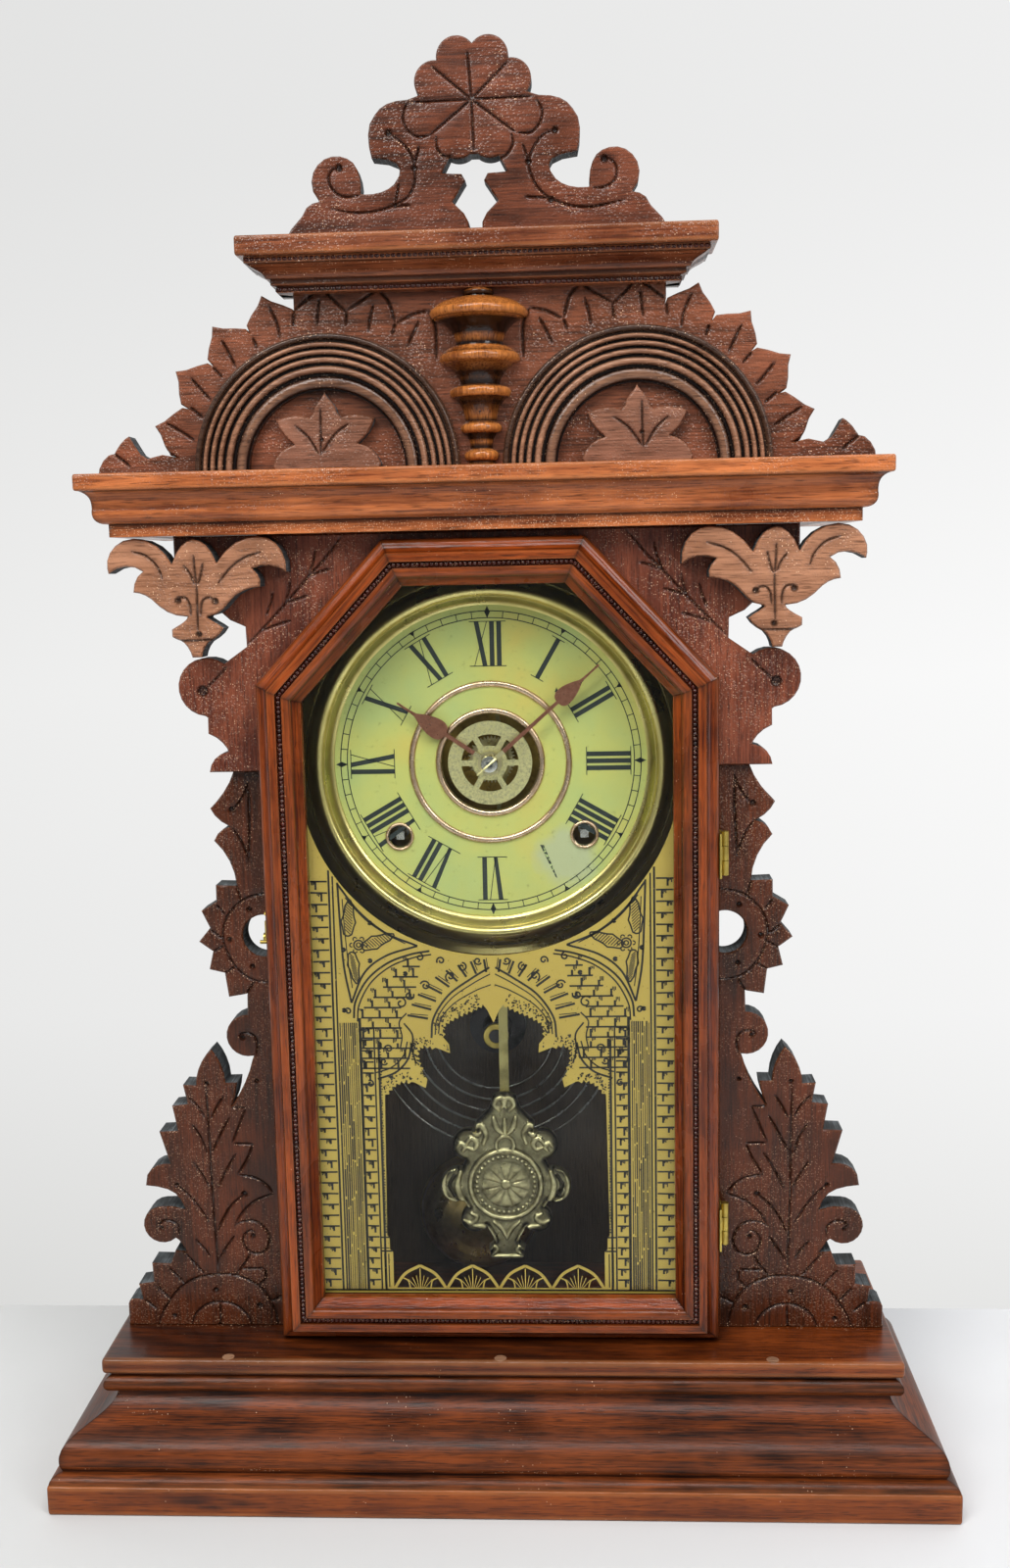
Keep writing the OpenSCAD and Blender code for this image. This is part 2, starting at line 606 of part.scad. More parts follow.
module hinge_door_leaves() {
    color(brass) for (z = hinge_zs) {
        z0 = z - hinge_len/2;
        difference() {
            union() {
                block([door_half, door_back_y - 9, z0], [door_half + leaf, hinge_y - 0.8, z0 + hinge_len]);
                block([door_half, hinge_y - 1.6, z0 + third + knuckle_gap],
                    [hinge_x - hinge_pin_r - 0.3, hinge_y - 0.2, z0 + 2*third - 2*knuckle_gap]);
            }
            translate([hinge_x, hinge_y, z0 + third + knuckle_gap - 0.1])
                cylinder(h = third - 3*knuckle_gap + 0.2, r = hinge_pin_r + 0.4);
            for (k = [0, 2]) translate([hinge_x, hinge_y, z0 + k*third - 0.2])
                cylinder(h = third + 0.4, r = knuckle_r + 0.25);
        }
        knuckle(z0 + third + knuckle_gap, z0 + 2*third - 2*knuckle_gap, hinge_pin_r + fit);
    }
}
module hinge_pins() {
    color(brass) for (z = hinge_zs) translate([hinge_x, hinge_y, z - hinge_len/2])
        cylinder(h = hinge_len, r = hinge_pin_r);
}

// Catch on the left side of the case: a lever that turns forward over a pin in the door's edge

catch_z = floor_z + rosette[1];
catch_y = front_y + front_step/2;
catch_stand = 0.2;
catch_t = 1.2;
catch_out = catch_stand + catch_t;
catch_w = 4;
catch_len = 9.5;
catch_pin_r = 0.8;
catch_screw_r = 1;
catch_slot = catch_pin_r + 0.4;
catch_reach = catch_len - 1;
catch_depth = 4;
catch_pin_y = catch_y - catch_reach;
module door_catch() {
    color(brass) translate([-half - catch_out, catch_y, catch_z]) rotate([90, 0, 90])
        linear_extrude(height = catch_t) difference() {
            union() {
                circle(d = catch_w);
                translate([-catch_w/2, 0]) square([catch_w, catch_len]);
                translate([0, catch_len]) circle(d = catch_w);
            }
            circle(r = catch_screw_r + fit);
            translate([0, catch_reach]) circle(r = catch_slot);
            translate([-catch_w, catch_reach - catch_slot]) square([catch_w, 2*catch_slot]);
        }
}
// A rod along X that starts catch_depth inside the left side of the case
module catch_rod(y, r, out) {
    translate([catch_depth - half, y, catch_z]) rotate([0, -90, 0])
        cylinder(h = catch_depth + out, r = r);
}
module catch_screw() {
    color(brass) {
        catch_rod(catch_y, catch_screw_r, catch_out + 0.2);
        translate([-half - catch_out - 0.1, catch_y, catch_z]) rotate([0, -90, 0])
            cylinder(h = 0.8, r = 1.9);
    }
}
module catch_pin() {
    color(brass) catch_rod(catch_pin_y, catch_pin_r, catch_out + 0.8);
}

// Dial

pan_t = 0.6;
ferrule_r = 4.6;
module dial_pan() {
    color("#b7c06a") upright(dial_y, pan_t) difference() {
        translate([0, dial_z]) circle(r = flange_r - 0.6, $fn = 128);
        translate([0, dial_z]) circle(r = dial_hole_r);
        for (s = [-1, 1]) translate([s*wind_x, dial_z - wind_drop]) circle(r = ferrule_r);
    }
}
bezel_h = 8;
module bezel() {
    color(brass) translate([0, dial_y, dial_z]) rotate([90, 0, 0]) rotate_extrude($fn = 128)
        polygon(concat([[bezel_in_r, 0]],
            bez([bezel_in_r, 1.2], [bezel_in_r + 1.4, 1.6], [bezel_in_r + 1.6, 3], [bezel_in_r + 2.4, 4.4], 3),
            bez([bezel_in_r + 2.4, 4.4], [bezel_in_r + 3.6, bezel_h + 1], [bezel_r - 3, bezel_h], [bezel_r - 0.6, 3], 6),
            [[bezel_r, 1.2], [flange_r, 1], [flange_r, 0]]));
}
ring_half = 1.3;
module half_ring(r) {
    rotate_extrude() polygon(arc([r, 0], ring_half, 0, 180, 8));
}
module dial_rings() {
    color("#a8745a") translate([0, dial_y, dial_z]) rotate([90, 0, 0]) {
        half_ring(copper_ring_r);
        half_ring(dial_hole_r + ring_half);
        for (s = [-1, 1]) translate([s*wind_x, -wind_drop, 0]) half_ring(ferrule_r + ring_half);
    }
}
dial_rail_w = 12;
dial_rail_t = 8;
dial_rail_up = 60;
dial_rail_down = 66;
module dial_rails() {
    x = half - case_t;
    color(dark_walnut) both() block([x - dial_rail_w, dial_y + pan_t, dial_z - dial_rail_down],
        [x, dial_y + pan_t + dial_rail_t, dial_z + dial_rail_up]);
}

// Hands

hand_t = 0.7;
hour_hand_y = dial_y - 3.6;
minute_hand_y = dial_y - 6.2;
// One side of a hand along +X from inside its hub, with a pear-shaped blade at b
function hand_side(l, w, b, bw, start) = concat([[start, w]],
    bez([b - bw*1.2, w*0.8], [b - bw*1.2, bw*1.3], [b + bw*0.4, bw*1.3], [b + bw*2.4, w*0.8], 8),
    bez([b + bw*2.4, w*0.8], [b + bw*3, w*0.4], [l - bw, 0.4], [l, 0.45], 4));
module hand(l, w, b, bw, hub, bore, y, a) {
    side = hand_side(l, w, b, bw, hub/2);
    translate([0, 0, dial_z]) difference() {
        union() {
            rotate([0, -a, 0]) upright(y, hand_t)
                polygon(concat(side, [for (i = [len(side) - 1:-1:0]) [side[i][0], -side[i][1]]]));
            rod(0, 0, hub, y, y + hand_t);
        }
        rod(0, 0, bore, y - 1, y + hand_t + 1);
    }
}
// Stack of sleeves on the hand arbor
arbor_r = 1.5;
pipe_in_r = arbor_r + fit;
pipe_r = 2.6;
disc_bore_r = pipe_r + fit;
hour_teeth = 40;
hour_mod = 0.48;
hour_wheel_y = plate_y - 5.6;
module hour_hand() {
    color("#8a5a44") {
        hand(hour_len, 1, 27, 4.1, 5, pipe_in_r, hour_hand_y, 90 - 30*shown_time);
        translate([0, 0, dial_z]) difference() {
            union() {
                rod(0, 0, pipe_r, hour_hand_y, hour_wheel_y + 1);
                upright(hour_wheel_y, 1) wheel_shape(hour_teeth, hour_mod,
                    angle([0, 0], minute_at) + 180/hour_teeth);
            }
            rod(0, 0, pipe_in_r, hour_hand_y - 1, hour_wheel_y + 2);
        }
    }
}
hand_square = 2.1;
module minute_hand() {
    color("#8a5a44") difference() {
        hand(minute_len, 0.9, 42.4, 3.6, 3.4, hand_square/3, minute_hand_y, 90 - 360*shown_time);
        translate([-hand_square/2, minute_hand_y - 1, dial_z - hand_square/2])
            cube([hand_square, hand_t + 2, hand_square]);
    }
}
disc_t = 0.8;
alarm_y = dial_y - 2;
module alarm_disc() {
    color(brass) translate([0, 0, dial_z]) upright(alarm_y, disc_t) difference() {
        circle(r = alarm_r);
        difference() {
            circle(r = alarm_r - 5.6);
            circle(r = 7.3);
            for (k = [0:5]) rotate(60*k) translate([0, -1.2]) square([alarm_r, 2.4]);
        }
        circle(r = disc_bore_r);
    }
}

// Movement: places of the arbors, from the hand arbor

tooth_tip = 0.9;
tooth_root = 1.3;
great_teeth = 60;
great_mod = 0.8;
second_pins = 15;
second_teeth = 45;
second_mod = 0.8;
center_pins = 15;
center_teeth = 72;
center_mod = 0.6;
third_pins = 8;
third_teeth = 72;
third_mod = 0.5;
escape_pins = 8;
escape_teeth = 45;
escape_r = 16;
cannon_pins = 12;
minute_teeth = 36;
minute_mod = 0.5;
minute_pins = 10;

great_at = [wind_x, -wind_drop];
great_r = great_teeth*great_mod/2;
second_pin_r = second_pins*great_mod/2;
second_r = second_teeth*second_mod/2;
center_pin_r = center_pins*second_mod/2;
second_at = meet([0, 0], second_r + center_pin_r, great_at, great_r + second_pin_r);
center_r = center_teeth*center_mod/2;
third_pin_r = third_pins*center_mod/2;
third_at = (center_r + third_pin_r)*[cos(66), sin(66)];
third_r = third_teeth*third_mod/2;
escape_pin_r = escape_pins*third_mod/2;
escape_at = third_at + (third_r + escape_pin_r)*[cos(120), sin(120)];
verge_at = escape_at + [3, escape_r + 4.4];
minute_wheel_r = minute_teeth*minute_mod/2;
cannon_r = cannon_pins*minute_mod/2;
minute_pin_r = minute_pins*hour_mod/2;
minute_at = (minute_wheel_r + cannon_r)*[cos(-140), sin(-140)];
hammer_at = [-14, -46];
gong_at = [-2, 117.1 + floor_z];
gong_y = outer_y - 4;

// Layers between the plates, from the inner face of the front plate
great_y = inner_y + 3;
spring_y = inner_y + 6.4;
spring_w = plate_gap - 12.4;
second_y = outer_y - 4.4;
center_y = inner_y + 8.5;
third_y = inner_y + 14.5;
escape_y = plate_y - 4;
wheel_t = 1.2;
great_t = 2;

// A wheel with straight-sided teeth
module wheel_shape(n, m, turn) {
    r = n*m/2;
    rt = r + tooth_tip*m;
    rr = r - tooth_root*m;
    h = 360/n;
    polygon([for (i = [0:n - 1]) for (k = [[rr, -0.3], [r, -0.21], [rt, -0.09], [rt, 0.09], [r, 0.21], [rr, 0.3]])
        let (a = turn + h*(i + k[1])) k[0]*[cos(a), sin(a)]]);
}
// A wheel with crossings, and its bore
module crossed_wheel(n, m, turn, hub, bore, spokes = 5) {
    r = n*m/2 - tooth_root*m;
    difference() {
        wheel_shape(n, m, turn);
        difference() {
            circle(r = r - 2.4);
            circle(r = hub);
            for (k = [0:spokes - 1]) rotate(360/spokes*k) translate([0, -1.1]) square([r, 2.2]);
        }
        if (bore > 0) circle(r = bore);
    }
}
pin_share = 0.17;
shroud_t = 1;
pin_reach = 1.6;
// A lantern pinion: pins on pitch radius r beside a wheel in the layer y to y + t
module lantern(n, r, m, y, t, turn, reach = pin_reach, shroud = shroud_t) {
    pin = pin_share*PI*m;
    for (s = [y - reach - shroud, y + t + reach]) rod(0, 0, r + pin + 0.5, s, s + shroud);
    for (i = [0:n - 1]) let (a = turn + 360/n*i)
        rod(r*cos(a), r*sin(a), pin, y - reach - shroud/2, y + t + reach + shroud/2);
}
// Turn of a pinion that puts a pin on the line to the wheel that drives it
function pin_turn(wheel_at, pinion_at) = angle(pinion_at, wheel_at);
// Turn of a wheel that puts a gap on the line to its pinion
function gap_turn(wheel_at, pinion_at, n) = angle(wheel_at, pinion_at) + 180/n;
pivot_r = 0.8;
arbor_clear = 0.3;
module arbor(r) {
    rod(0, 0, r, inner_y + arbor_clear, outer_y - arbor_clear);
    rod(0, 0, pivot_r, plate_y - 0.6, outer_y + plate_t + 0.6);
}
module at_arbor(at) { translate([at[0], 0, dial_z + at[1]]) children(); }

plate_up = 72;
plate_down = 60;
pillar_r = 3;
low_pillar = [22, 5 - plate_down];
high_pillar = [plate_w/2 - 7, plate_up - 8];
pillars = [for (s = [-1, 1]) for (p = [low_pillar, high_pillar]) [s*p[0], p[1]]];
small_bores = [second_at, third_at, [-second_at[0], second_at[1]]];
module plate_shape(front) {
    difference() {
        translate([-plate_w/2, -plate_down]) square([plate_w, plate_down + plate_up]);
        translate([0, -plate_down]) circle(r = 12);
        for (s = [-1, 1]) {
            translate([s*(plate_w/2 + 4), 20]) circle(r = 20);
            translate([s*wind_x, -wind_drop]) circle(r = wind_r + fit);
        }
        for (p = small_bores) translate(p) circle(r = pivot_r + fit);
        translate(escape_at) circle(r = pivot_r + fit);
        translate(hammer_at) circle(r = pivot_r + fit);
        circle(r = (front ? arbor_r : pivot_r) + fit);
    }
}
stud_r = 1;
module front_plate() {
    color(brass) translate([0, 0, dial_z]) {
        upright(plate_y, plate_t) plate_shape(true);
        rod(verge_at[0], verge_at[1], stud_r, escape_y - 2, plate_y + eps);
        rod(minute_at[0], minute_at[1], stud_r, hour_wheel_y - 1.6, plate_y + eps);
    }
}
foot_r = 4;
module back_plate() {
    color(brass) translate([0, 0, dial_z]) {
        upright(outer_y, plate_t) plate_shape(false);
        for (p = pillars) rod(p[0], p[1], foot_r, outer_y + plate_t - eps, board_in_y);
    }
}
module plate_pillars() {
    color(steel) translate([0, 0, dial_z]) for (p = pillars) rod(p[0], p[1], pillar_r, inner_y, outer_y);
}
post_up = 8;
post_slot = 0.8;
module suspension_post() {
    x = verge_at[0];
    z = dial_z + verge_at[1] + post_up;
    color(brass) difference() {
        block([x - 4, pend_y - 2.4, z - 2], [x + 4, plate_y, z + 4]);
        block([x - post_slot, pend_y - 3, z - 3], [x + post_slot, pend_y + 3, z + 2.4]);
    }
}

// Time train

module winding_arbor() {
    square_y = dial_y + 2;
    rod(0, 0, wind_r, plate_y - 1, outer_y + plate_t + 1.4);
    translate([-1.7, square_y, -1.7]) cube([3.4, plate_y - 1 - square_y + eps, 3.4]);
    rod(0, 0, 8, great_y + great_t + 0.3, great_y + great_t + 1.1);
}
module great_wheel(turn) {
    upright(great_y, great_t) crossed_wheel(great_teeth, great_mod, turn, 10, wind_r + fit, 6);
}
module second_shaft() {
    second_wheel_turn = gap_turn(second_at, [0, 0], second_teeth);
    arbor(1.5);
    lantern(second_pins, second_pin_r, great_mod, great_y, great_t, pin_turn(great_at, second_at));
    upright(second_y, wheel_t)
        crossed_wheel(second_teeth, second_mod, second_wheel_turn, 4, 0);
}
// The strip of a mainspring, wound evenly, with its outer end looped round the lower pillar
spring_strip = 0.5;
spring_in_r = wind_r + 0.35;
spring_step = 1.8;
spring_out_r = spring_in_r + spring_step*spring_turns;
module mainspring() {
    steps = spring_turns*24;
    to_pillar = low_pillar - great_at;
    reach = norm(to_pillar) - pillar_r - gap;
    side = [for (i = [0:steps]) [15*i, spring_in_r + spring_step*i/24]];
    edge = [for (p = side) p[1]*[cos(p[0]), sin(p[0])]];
    rim = [for (i = [steps:-1:0]) let (p = side[i]) (p[1] + spring_strip)*[cos(p[0]), sin(p[0])]];
    rotate([0, -angle([0, 0], to_pillar), 0]) {
        upright(spring_y, spring_w) polygon(concat(edge, rim));
        block([spring_out_r, spring_y, -spring_strip/2], [reach, spring_y + spring_w, spring_strip/2]);
        translate([norm(to_pillar), 0, 0]) difference() {
            rod(0, 0, pillar_r + gap + spring_strip, spring_y, spring_y + spring_w);
            rod(0, 0, pillar_r + gap, spring_y - 1, spring_y + spring_w + 1);
        }
    }
}
module time_great_wheel() {
    color(brass) at_arbor(great_at) great_wheel(gap_turn(great_at, second_at, great_teeth));
}
module time_winding_arbor() { color(steel) at_arbor(great_at) winding_arbor(); }
module time_mainspring() { color(steel) at_arbor(great_at) mainspring(); }
module time_second_wheel() { color(brass) at_arbor(second_at) second_shaft(); }
module center_arbor() {
    color(steel) at_arbor([0, 0]) {
        rod(0, 0, arbor_r, minute_hand_y + 1.4, outer_y - arbor_clear);
        rod(0, 0, pivot_r, outer_y - 1, outer_y + plate_t + 0.6);
        translate([-hand_square/2, minute_hand_y - 2.4, -hand_square/2])
            cube([hand_square, 4, hand_square]);
        lantern(cannon_pins, cannon_r, minute_mod, cannon_y, wheel_t, pin_turn(minute_at, [0, 0]),
            cannon_reach, cannon_shroud);
        upright(center_y, wheel_t)
            crossed_wheel(center_teeth, center_mod, gap_turn([0, 0], third_at, center_teeth), 4, 0);
        lantern(center_pins, center_pin_r, second_mod, second_y, wheel_t, pin_turn(second_at, [0, 0]));
    }
}
module third_wheel() {
    color(brass) at_arbor(third_at) {
        arbor(1.2);
        lantern(third_pins, third_pin_r, center_mod, center_y, wheel_t, pin_turn([0, 0], third_at));
        upright(third_y, wheel_t)
            crossed_wheel(third_teeth, third_mod, gap_turn(third_at, escape_at, third_teeth), 3, 0);
    }
}
module escape_wheel() {
    color(brass) at_arbor(escape_at) {
        rod(0, 0, 1, inner_y + arbor_clear, outer_y - arbor_clear);
        rod(0, 0, pivot_r, escape_y, outer_y + plate_t + 0.6);
        lantern(escape_pins, escape_pin_r, third_mod, third_y, wheel_t, pin_turn(third_at, escape_at));
        upright(escape_y, 1) difference() {
            polygon([for (i = [0:escape_teeth - 1]) for (k = [[escape_r - 2, 0], [escape_r, 0.2], [escape_r - 2, 0.6]])
                let (a = 360/escape_teeth*(i + k[1])) k[0]*[cos(a), sin(a)]]);
            difference() {
                circle(r = escape_r - 4);
                circle(r = 3);
                for (k = [0:3]) rotate(90*k) translate([0, -0.8]) square([escape_r, 1.6]);
            }
        }
    }
}
// Pallets bent from one strip, held clear of the wheel, with the crutch down to the rod
crutch_len = 26;
module verge() {
    span = 26;
    r0 = escape_r + 0.9;
    d = escape_at - verge_at;
    a0 = angle(verge_at, escape_at);
    color(steel) translate([verge_at[0], 0, dial_z + verge_at[1]]) difference() {
        union() {
            rod(0, 0, 2.6, escape_y - 0.6, escape_y + 1.2);
            upright(escape_y, 1) {
                polygon(concat(arc(d, r0, 90 - span - 8, 90 + span, 10), arc(d, r0 + 1.4, 90 + span, 90 - span - 8, 10)));
                translate([-1.2, -2.6]) square([2.4, 2.6]);
            }
            translate([-0.6, escape_y - 1.6, -crutch_len]) cube([1.2, 1, crutch_len]);
            rod(0, 0, 2.6, escape_y - 1.6, escape_y);
            for (s = [-1, 1]) translate([s*1.75 - 0.35, pend_y - 1, -crutch_len - 1])
                cube([0.7, escape_y - 0.6 - pend_y + 1, 2]);
            translate([-2.1, escape_y - 1.6, -crutch_len - 1]) cube([4.2, 1, 2]);
        }
        rod(0, 0, stud_r + fit, escape_y - 3, escape_y + 3);
    }
}
cannon_y = plate_y - 2.9;
cannon_reach = 0.5;
cannon_shroud = 0.6;
module minute_wheel() {
    y = hour_wheel_y - 1.1;
    color(brass) at_arbor(minute_at) difference() {
        union() {
            upright(cannon_y, wheel_t)
                wheel_shape(minute_teeth, minute_mod, gap_turn(minute_at, [0, 0], minute_teeth));
            rod(0, 0, stud_r + 0.7, y, cannon_y + eps);
            rod(0, 0, minute_pin_r + 0.8, y, y + cannon_shroud);
            for (i = [0:minute_pins - 1]) let (a = pin_turn([0, 0], minute_at) + 360/minute_pins*i)
                rod(minute_pin_r*cos(a), minute_pin_r*sin(a), pin_share*PI*hour_mod, y + 0.3, cannon_y + 0.2);
        }
        rod(0, 0, stud_r + fit, y - 1, plate_y);
    }
}

// Strike side, on the left

strike_great_at = [-great_at[0], great_at[1]];
strike_second_at = [-second_at[0], second_at[1]];
module strike_great_wheel() {
    color(brass) at_arbor(strike_great_at)
        great_wheel(gap_turn(strike_great_at, strike_second_at, great_teeth));
}
module strike_winding_arbor() { color(steel) at_arbor(strike_great_at) winding_arbor(); }
module strike_mainspring() { color(steel) at_arbor(strike_great_at) mirror([1, 0, 0]) mainspring(); }
cam_y = outer_y - 8;
module strike_second_wheel() {
    color(brass) at_arbor(strike_second_at) {
        arbor(1.5);
        lantern(second_pins, second_pin_r, great_mod, great_y, great_t,
            pin_turn(strike_great_at, strike_second_at));
        upright(cam_y, 2) difference() {
            circle(r = 9);
            for (k = [0:3]) rotate(90*k + 45) translate([9, 0]) circle(r = 2);
        }
    }
}
// The hammer's head hangs just above the outermost turn of the gong
hammer_r = 3;
gong_top = sqrt(gong_out_r*gong_out_r - pow(hammer_at[0] - gong_at[0], 2));
hammer_len = dial_z + hammer_at[1] - gong_at[1] - gong_top - wire_r - hammer_r - 1;
module strike_hammer() {
    y = gong_y;
    color(steel) at_arbor(hammer_at) {
        rod(0, 0, 1.2, inner_y + arbor_clear, outer_y - arbor_clear);
        rod(0, 0, pivot_r, plate_y - 0.6, outer_y + plate_t + 0.6);
        rod(0, -hammer_len, hammer_r, y - 6, y + 2);
        translate([-0.8, y - 3, -hammer_len]) cube([1.6, 1.6, hammer_len]);
    }
}

// Pendulum, in front of the movement

pend_y = dial_y + 6.4;
rod_t = 1.2;
rod_w = 4;
bob_z = dial_z + verge_at[1] - pendulum_len;
bow = 4.2;
bow_half = 22;
// The rod bows to the right to pass the hand arbor
function rod_bow(z) = abs(z) > bow_half ? 0 : bow*(1 + cos(180*z/bow_half))/2;
module pendulum_rod() {
    x = verge_at[0];
    top = verge_at[1] + post_up + 1;
    zs = [for (z = [-bow_half:4:bow_half]) z];
    low = bob_z - dial_z - 10;
    thin = 0.8;
    color("#c9b88a") translate([x, 0, dial_z]) {
        upright(pend_y - rod_t/2, rod_t) polygon(concat(
            [[thin, verge_at[1]], [thin, bow_half]], [for (z = [bow_half:-4:-bow_half]) [rod_bow(z) + thin, z]],
            [[thin, -bow_half - 8], [rod_w/2, -bow_half - 12], [rod_w/2, low]],
            [[-rod_w/2, low], [-rod_w/2, -bow_half - 12], [-thin, -bow_half - 8]],
            [for (z = [-bow_half:4:bow_half]) [rod_bow(z) - thin, z]], [[-thin, bow_half], [-thin, verge_at[1]]]));
        block([-0.25, pend_y - rod_t/2, verge_at[1] - eps], [0.25, pend_y + rod_t/2, top]);
    }
}
bob_t = 5;
module pendulum_bob() {
    x = verge_at[0];
    y = pend_y - rod_t/2 - bob_t;
    s = [bob_w/57, bob_h/76];
    color("#a8a070") translate([x, 0, bob_z]) {
        upright(y, bob_t) {
            translate([0, -3*s[1]]) circle(r = 20*s[0]);
            for (k = [-1, 1]) {
                translate([k*21*s[0], -4*s[1]]) circle(r = 7.5*s[0]);
                translate([k*16*s[0], 14*s[1]]) circle(r = 7*s[0]);
                translate([k*14*s[0], -20*s[1]]) circle(r = 6*s[0]);
            }
            polygon(stretch([[-12, 12], [-13, 24], [-7, 30], [-5, 36], [0, 38], [5, 36], [7, 30], [13, 24], [12, 12]], s[0], s[1]));
            polygon(stretch([[-9, -22], [-5, -30], [-8, -33], [-7, -38], [7, -38], [8, -33], [5, -30], [9, -22]], s[0], s[1]));
        }
        rod(0, -3*s[1], 16*s[0], y - 1, y + eps);
    }
}

// Coil gong on its boss, and the alarm bell

gong_boss_r = 6.5;
module gong_base() {
    color("#8a7440") translate([gong_at[0], 0, gong_at[1]]) {
        rod(0, 0, 13, board_in_y - 3, board_in_y);
        rod(0, 0, gong_boss_r, gong_y - 6, board_in_y);
        rod(0, 0, 3, gong_y - 7.4, gong_y);
    }
}
gong_start = 90;
rings_per_turn = 24;
// Points along the wire: out of the boss, then round in an even spiral
function gong_point(i) =
    let (a = gong_start - 360*i/rings_per_turn,
        r = gong_in_r + (gong_out_r - gong_in_r)*i/(rings_per_turn*gong_turns))
    [r*cos(a), gong_y, r*sin(a)];
gong_path = concat([[0, gong_y, gong_boss_r + 0.05], [0, gong_y, gong_boss_r + 2], [0.4, gong_y, gong_in_r - 5],
        [2.6, gong_y, gong_in_r - 1.2]],
    [for (i = [2:rings_per_turn*gong_turns]) gong_point(i)]);
gong_gap = (gong_out_r - gong_in_r)/gong_turns - 2*wire_r;
echo(least_gap_of_gong_turns = gong_gap);
sides = 6;
module tube(path, r) {
    n = len(path);
    pts = [for (i = [0:n - 1]) let (t = unit(path[min(i + 1, n - 1)] - path[max(i - 1, 0)]),
        u = [0, 1, 0], v = cross(t, u)) for (k = [0:sides - 1])
        path[i] + r*(cos(360/sides*k)*u + sin(360/sides*k)*v)];
    polyhedron(points = pts, faces = concat(
        [[for (k = [0:sides - 1]) k]], [[for (k = [sides - 1:-1:0]) (n - 1)*sides + k]],
        [for (i = [0:n - 2]) for (k = [0:sides - 1]) let (q = (k + 1)%sides)
            each [[i*sides + k, (i + 1)*sides + k, (i + 1)*sides + q], [i*sides + k, (i + 1)*sides + q, i*sides + q]]]));
}
module gong_wire() { color("#4d5560") translate([gong_at[0], 0, gong_at[1]]) tube(gong_path, wire_r); }

bell_at = [-12, 30.6 + floor_z];
bell_y = board_in_y - 26;
module alarm_bell() {
    color("#a58f50") translate([bell_at[0], bell_y, bell_at[1]]) {
        rotate([-90, 0, 0]) difference() {
            rotate_extrude() polygon(concat(
                bez([0, 0], [bell_r*0.7, 0], [bell_r*0.95, 4], [bell_r, 15], 8),
                [[bell_r + 0.8, 16], [bell_r - 0.8, 16]],
                bez([bell_r - 1.4, 15], [bell_r*0.9, 5.6], [bell_r*0.64, 1.4], [0, 1.4], 8)));
        }
        rod(0, 0, 2.2, -2, board_in_y - bell_y);
        rod(0, 0, 7, board_in_y - bell_y - 2, board_in_y - bell_y);
    }
}

plinth_board();
base_moulding();
base_back_rail();
base_shelf();
case_sides();
case_top();
back_board();
wing_left();
wing_right();
front_board();
bracket_left();
bracket_right();
cornice_board();
cornice_moulding();
pediment_board();
pediment_arches();
pediment_leaves();
spindle();
top_cornice_board();
top_cornice_moulding();
crest();
door_frame();
door_glass();
glass_strips();
hinge_case_leaves();
hinge_door_leaves();
hinge_pins();
door_catch();
catch_screw();
catch_pin();
dial_pan();
bezel();
dial_rings();
dial_rails();
hour_hand();
minute_hand();
alarm_disc();
front_plate();
back_plate();
plate_pillars();
suspension_post();
time_great_wheel();
time_winding_arbor();
time_mainspring();
time_second_wheel();
center_arbor();
third_wheel();
escape_wheel();
verge();
minute_wheel();
strike_great_wheel();
strike_winding_arbor();
strike_mainspring();
strike_second_wheel();
strike_hammer();
pendulum_rod();
pendulum_bob();
gong_base();
gong_wire();
alarm_bell();
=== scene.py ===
import math

import bpy
import numpy as np
from mathutils import Matrix
from mathutils.geometry import delaunay_2d_cdt


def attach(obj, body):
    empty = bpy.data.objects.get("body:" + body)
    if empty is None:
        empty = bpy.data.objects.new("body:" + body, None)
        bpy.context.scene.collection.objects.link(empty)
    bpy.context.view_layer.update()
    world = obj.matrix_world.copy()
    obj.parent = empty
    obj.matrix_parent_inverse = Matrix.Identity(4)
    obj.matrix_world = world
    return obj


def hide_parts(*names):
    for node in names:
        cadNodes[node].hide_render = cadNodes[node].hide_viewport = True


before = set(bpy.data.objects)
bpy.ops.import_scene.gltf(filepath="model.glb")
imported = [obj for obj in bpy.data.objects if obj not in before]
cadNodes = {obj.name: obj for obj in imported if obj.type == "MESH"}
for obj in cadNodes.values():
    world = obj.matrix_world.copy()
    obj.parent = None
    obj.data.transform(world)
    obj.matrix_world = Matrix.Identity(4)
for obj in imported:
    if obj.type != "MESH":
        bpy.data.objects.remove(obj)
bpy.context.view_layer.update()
print("frame loaded:", len(cadNodes), "nodes")


# ---- colours and shader nodes

# sRGB hex to the linear colour that a shader takes
def linear(hexColour):
    parts = [int(hexColour[i:i + 2], 16)/255 for i in (1, 3, 5)]
    return [c/12.92 if c <= 0.04045 else ((c + 0.055)/1.055)**2.4 for c in parts] + [1.0]


# one shader node: plain settings by name, ramp stops as (place, hex), and inputs as values, sockets or nodes, where a
# node stands for its first output, or for the colour of a mix
def addNode(tree, kind, inputs=None, stops=(), **settings):
    node = tree.nodes.new(kind)
    for key, value in settings.items():
        setattr(node, key, value)
    for key, value in (inputs or {}).items():
        if isinstance(value, bpy.types.Node):
            value = value.outputs[2 if value.bl_idname == "ShaderNodeMix" else 0]
        if isinstance(value, bpy.types.NodeSocket):
            tree.links.new(value, node.inputs[key])
        else:
            node.inputs[key].default_value = value
    while stops and len(node.color_ramp.elements) < len(stops):
        node.color_ramp.elements.new(0.5)
    for k, (place, colour) in enumerate(stops):
        node.color_ramp.elements[k].position = place
        node.color_ramp.elements[k].color = linear(colour)
    return node


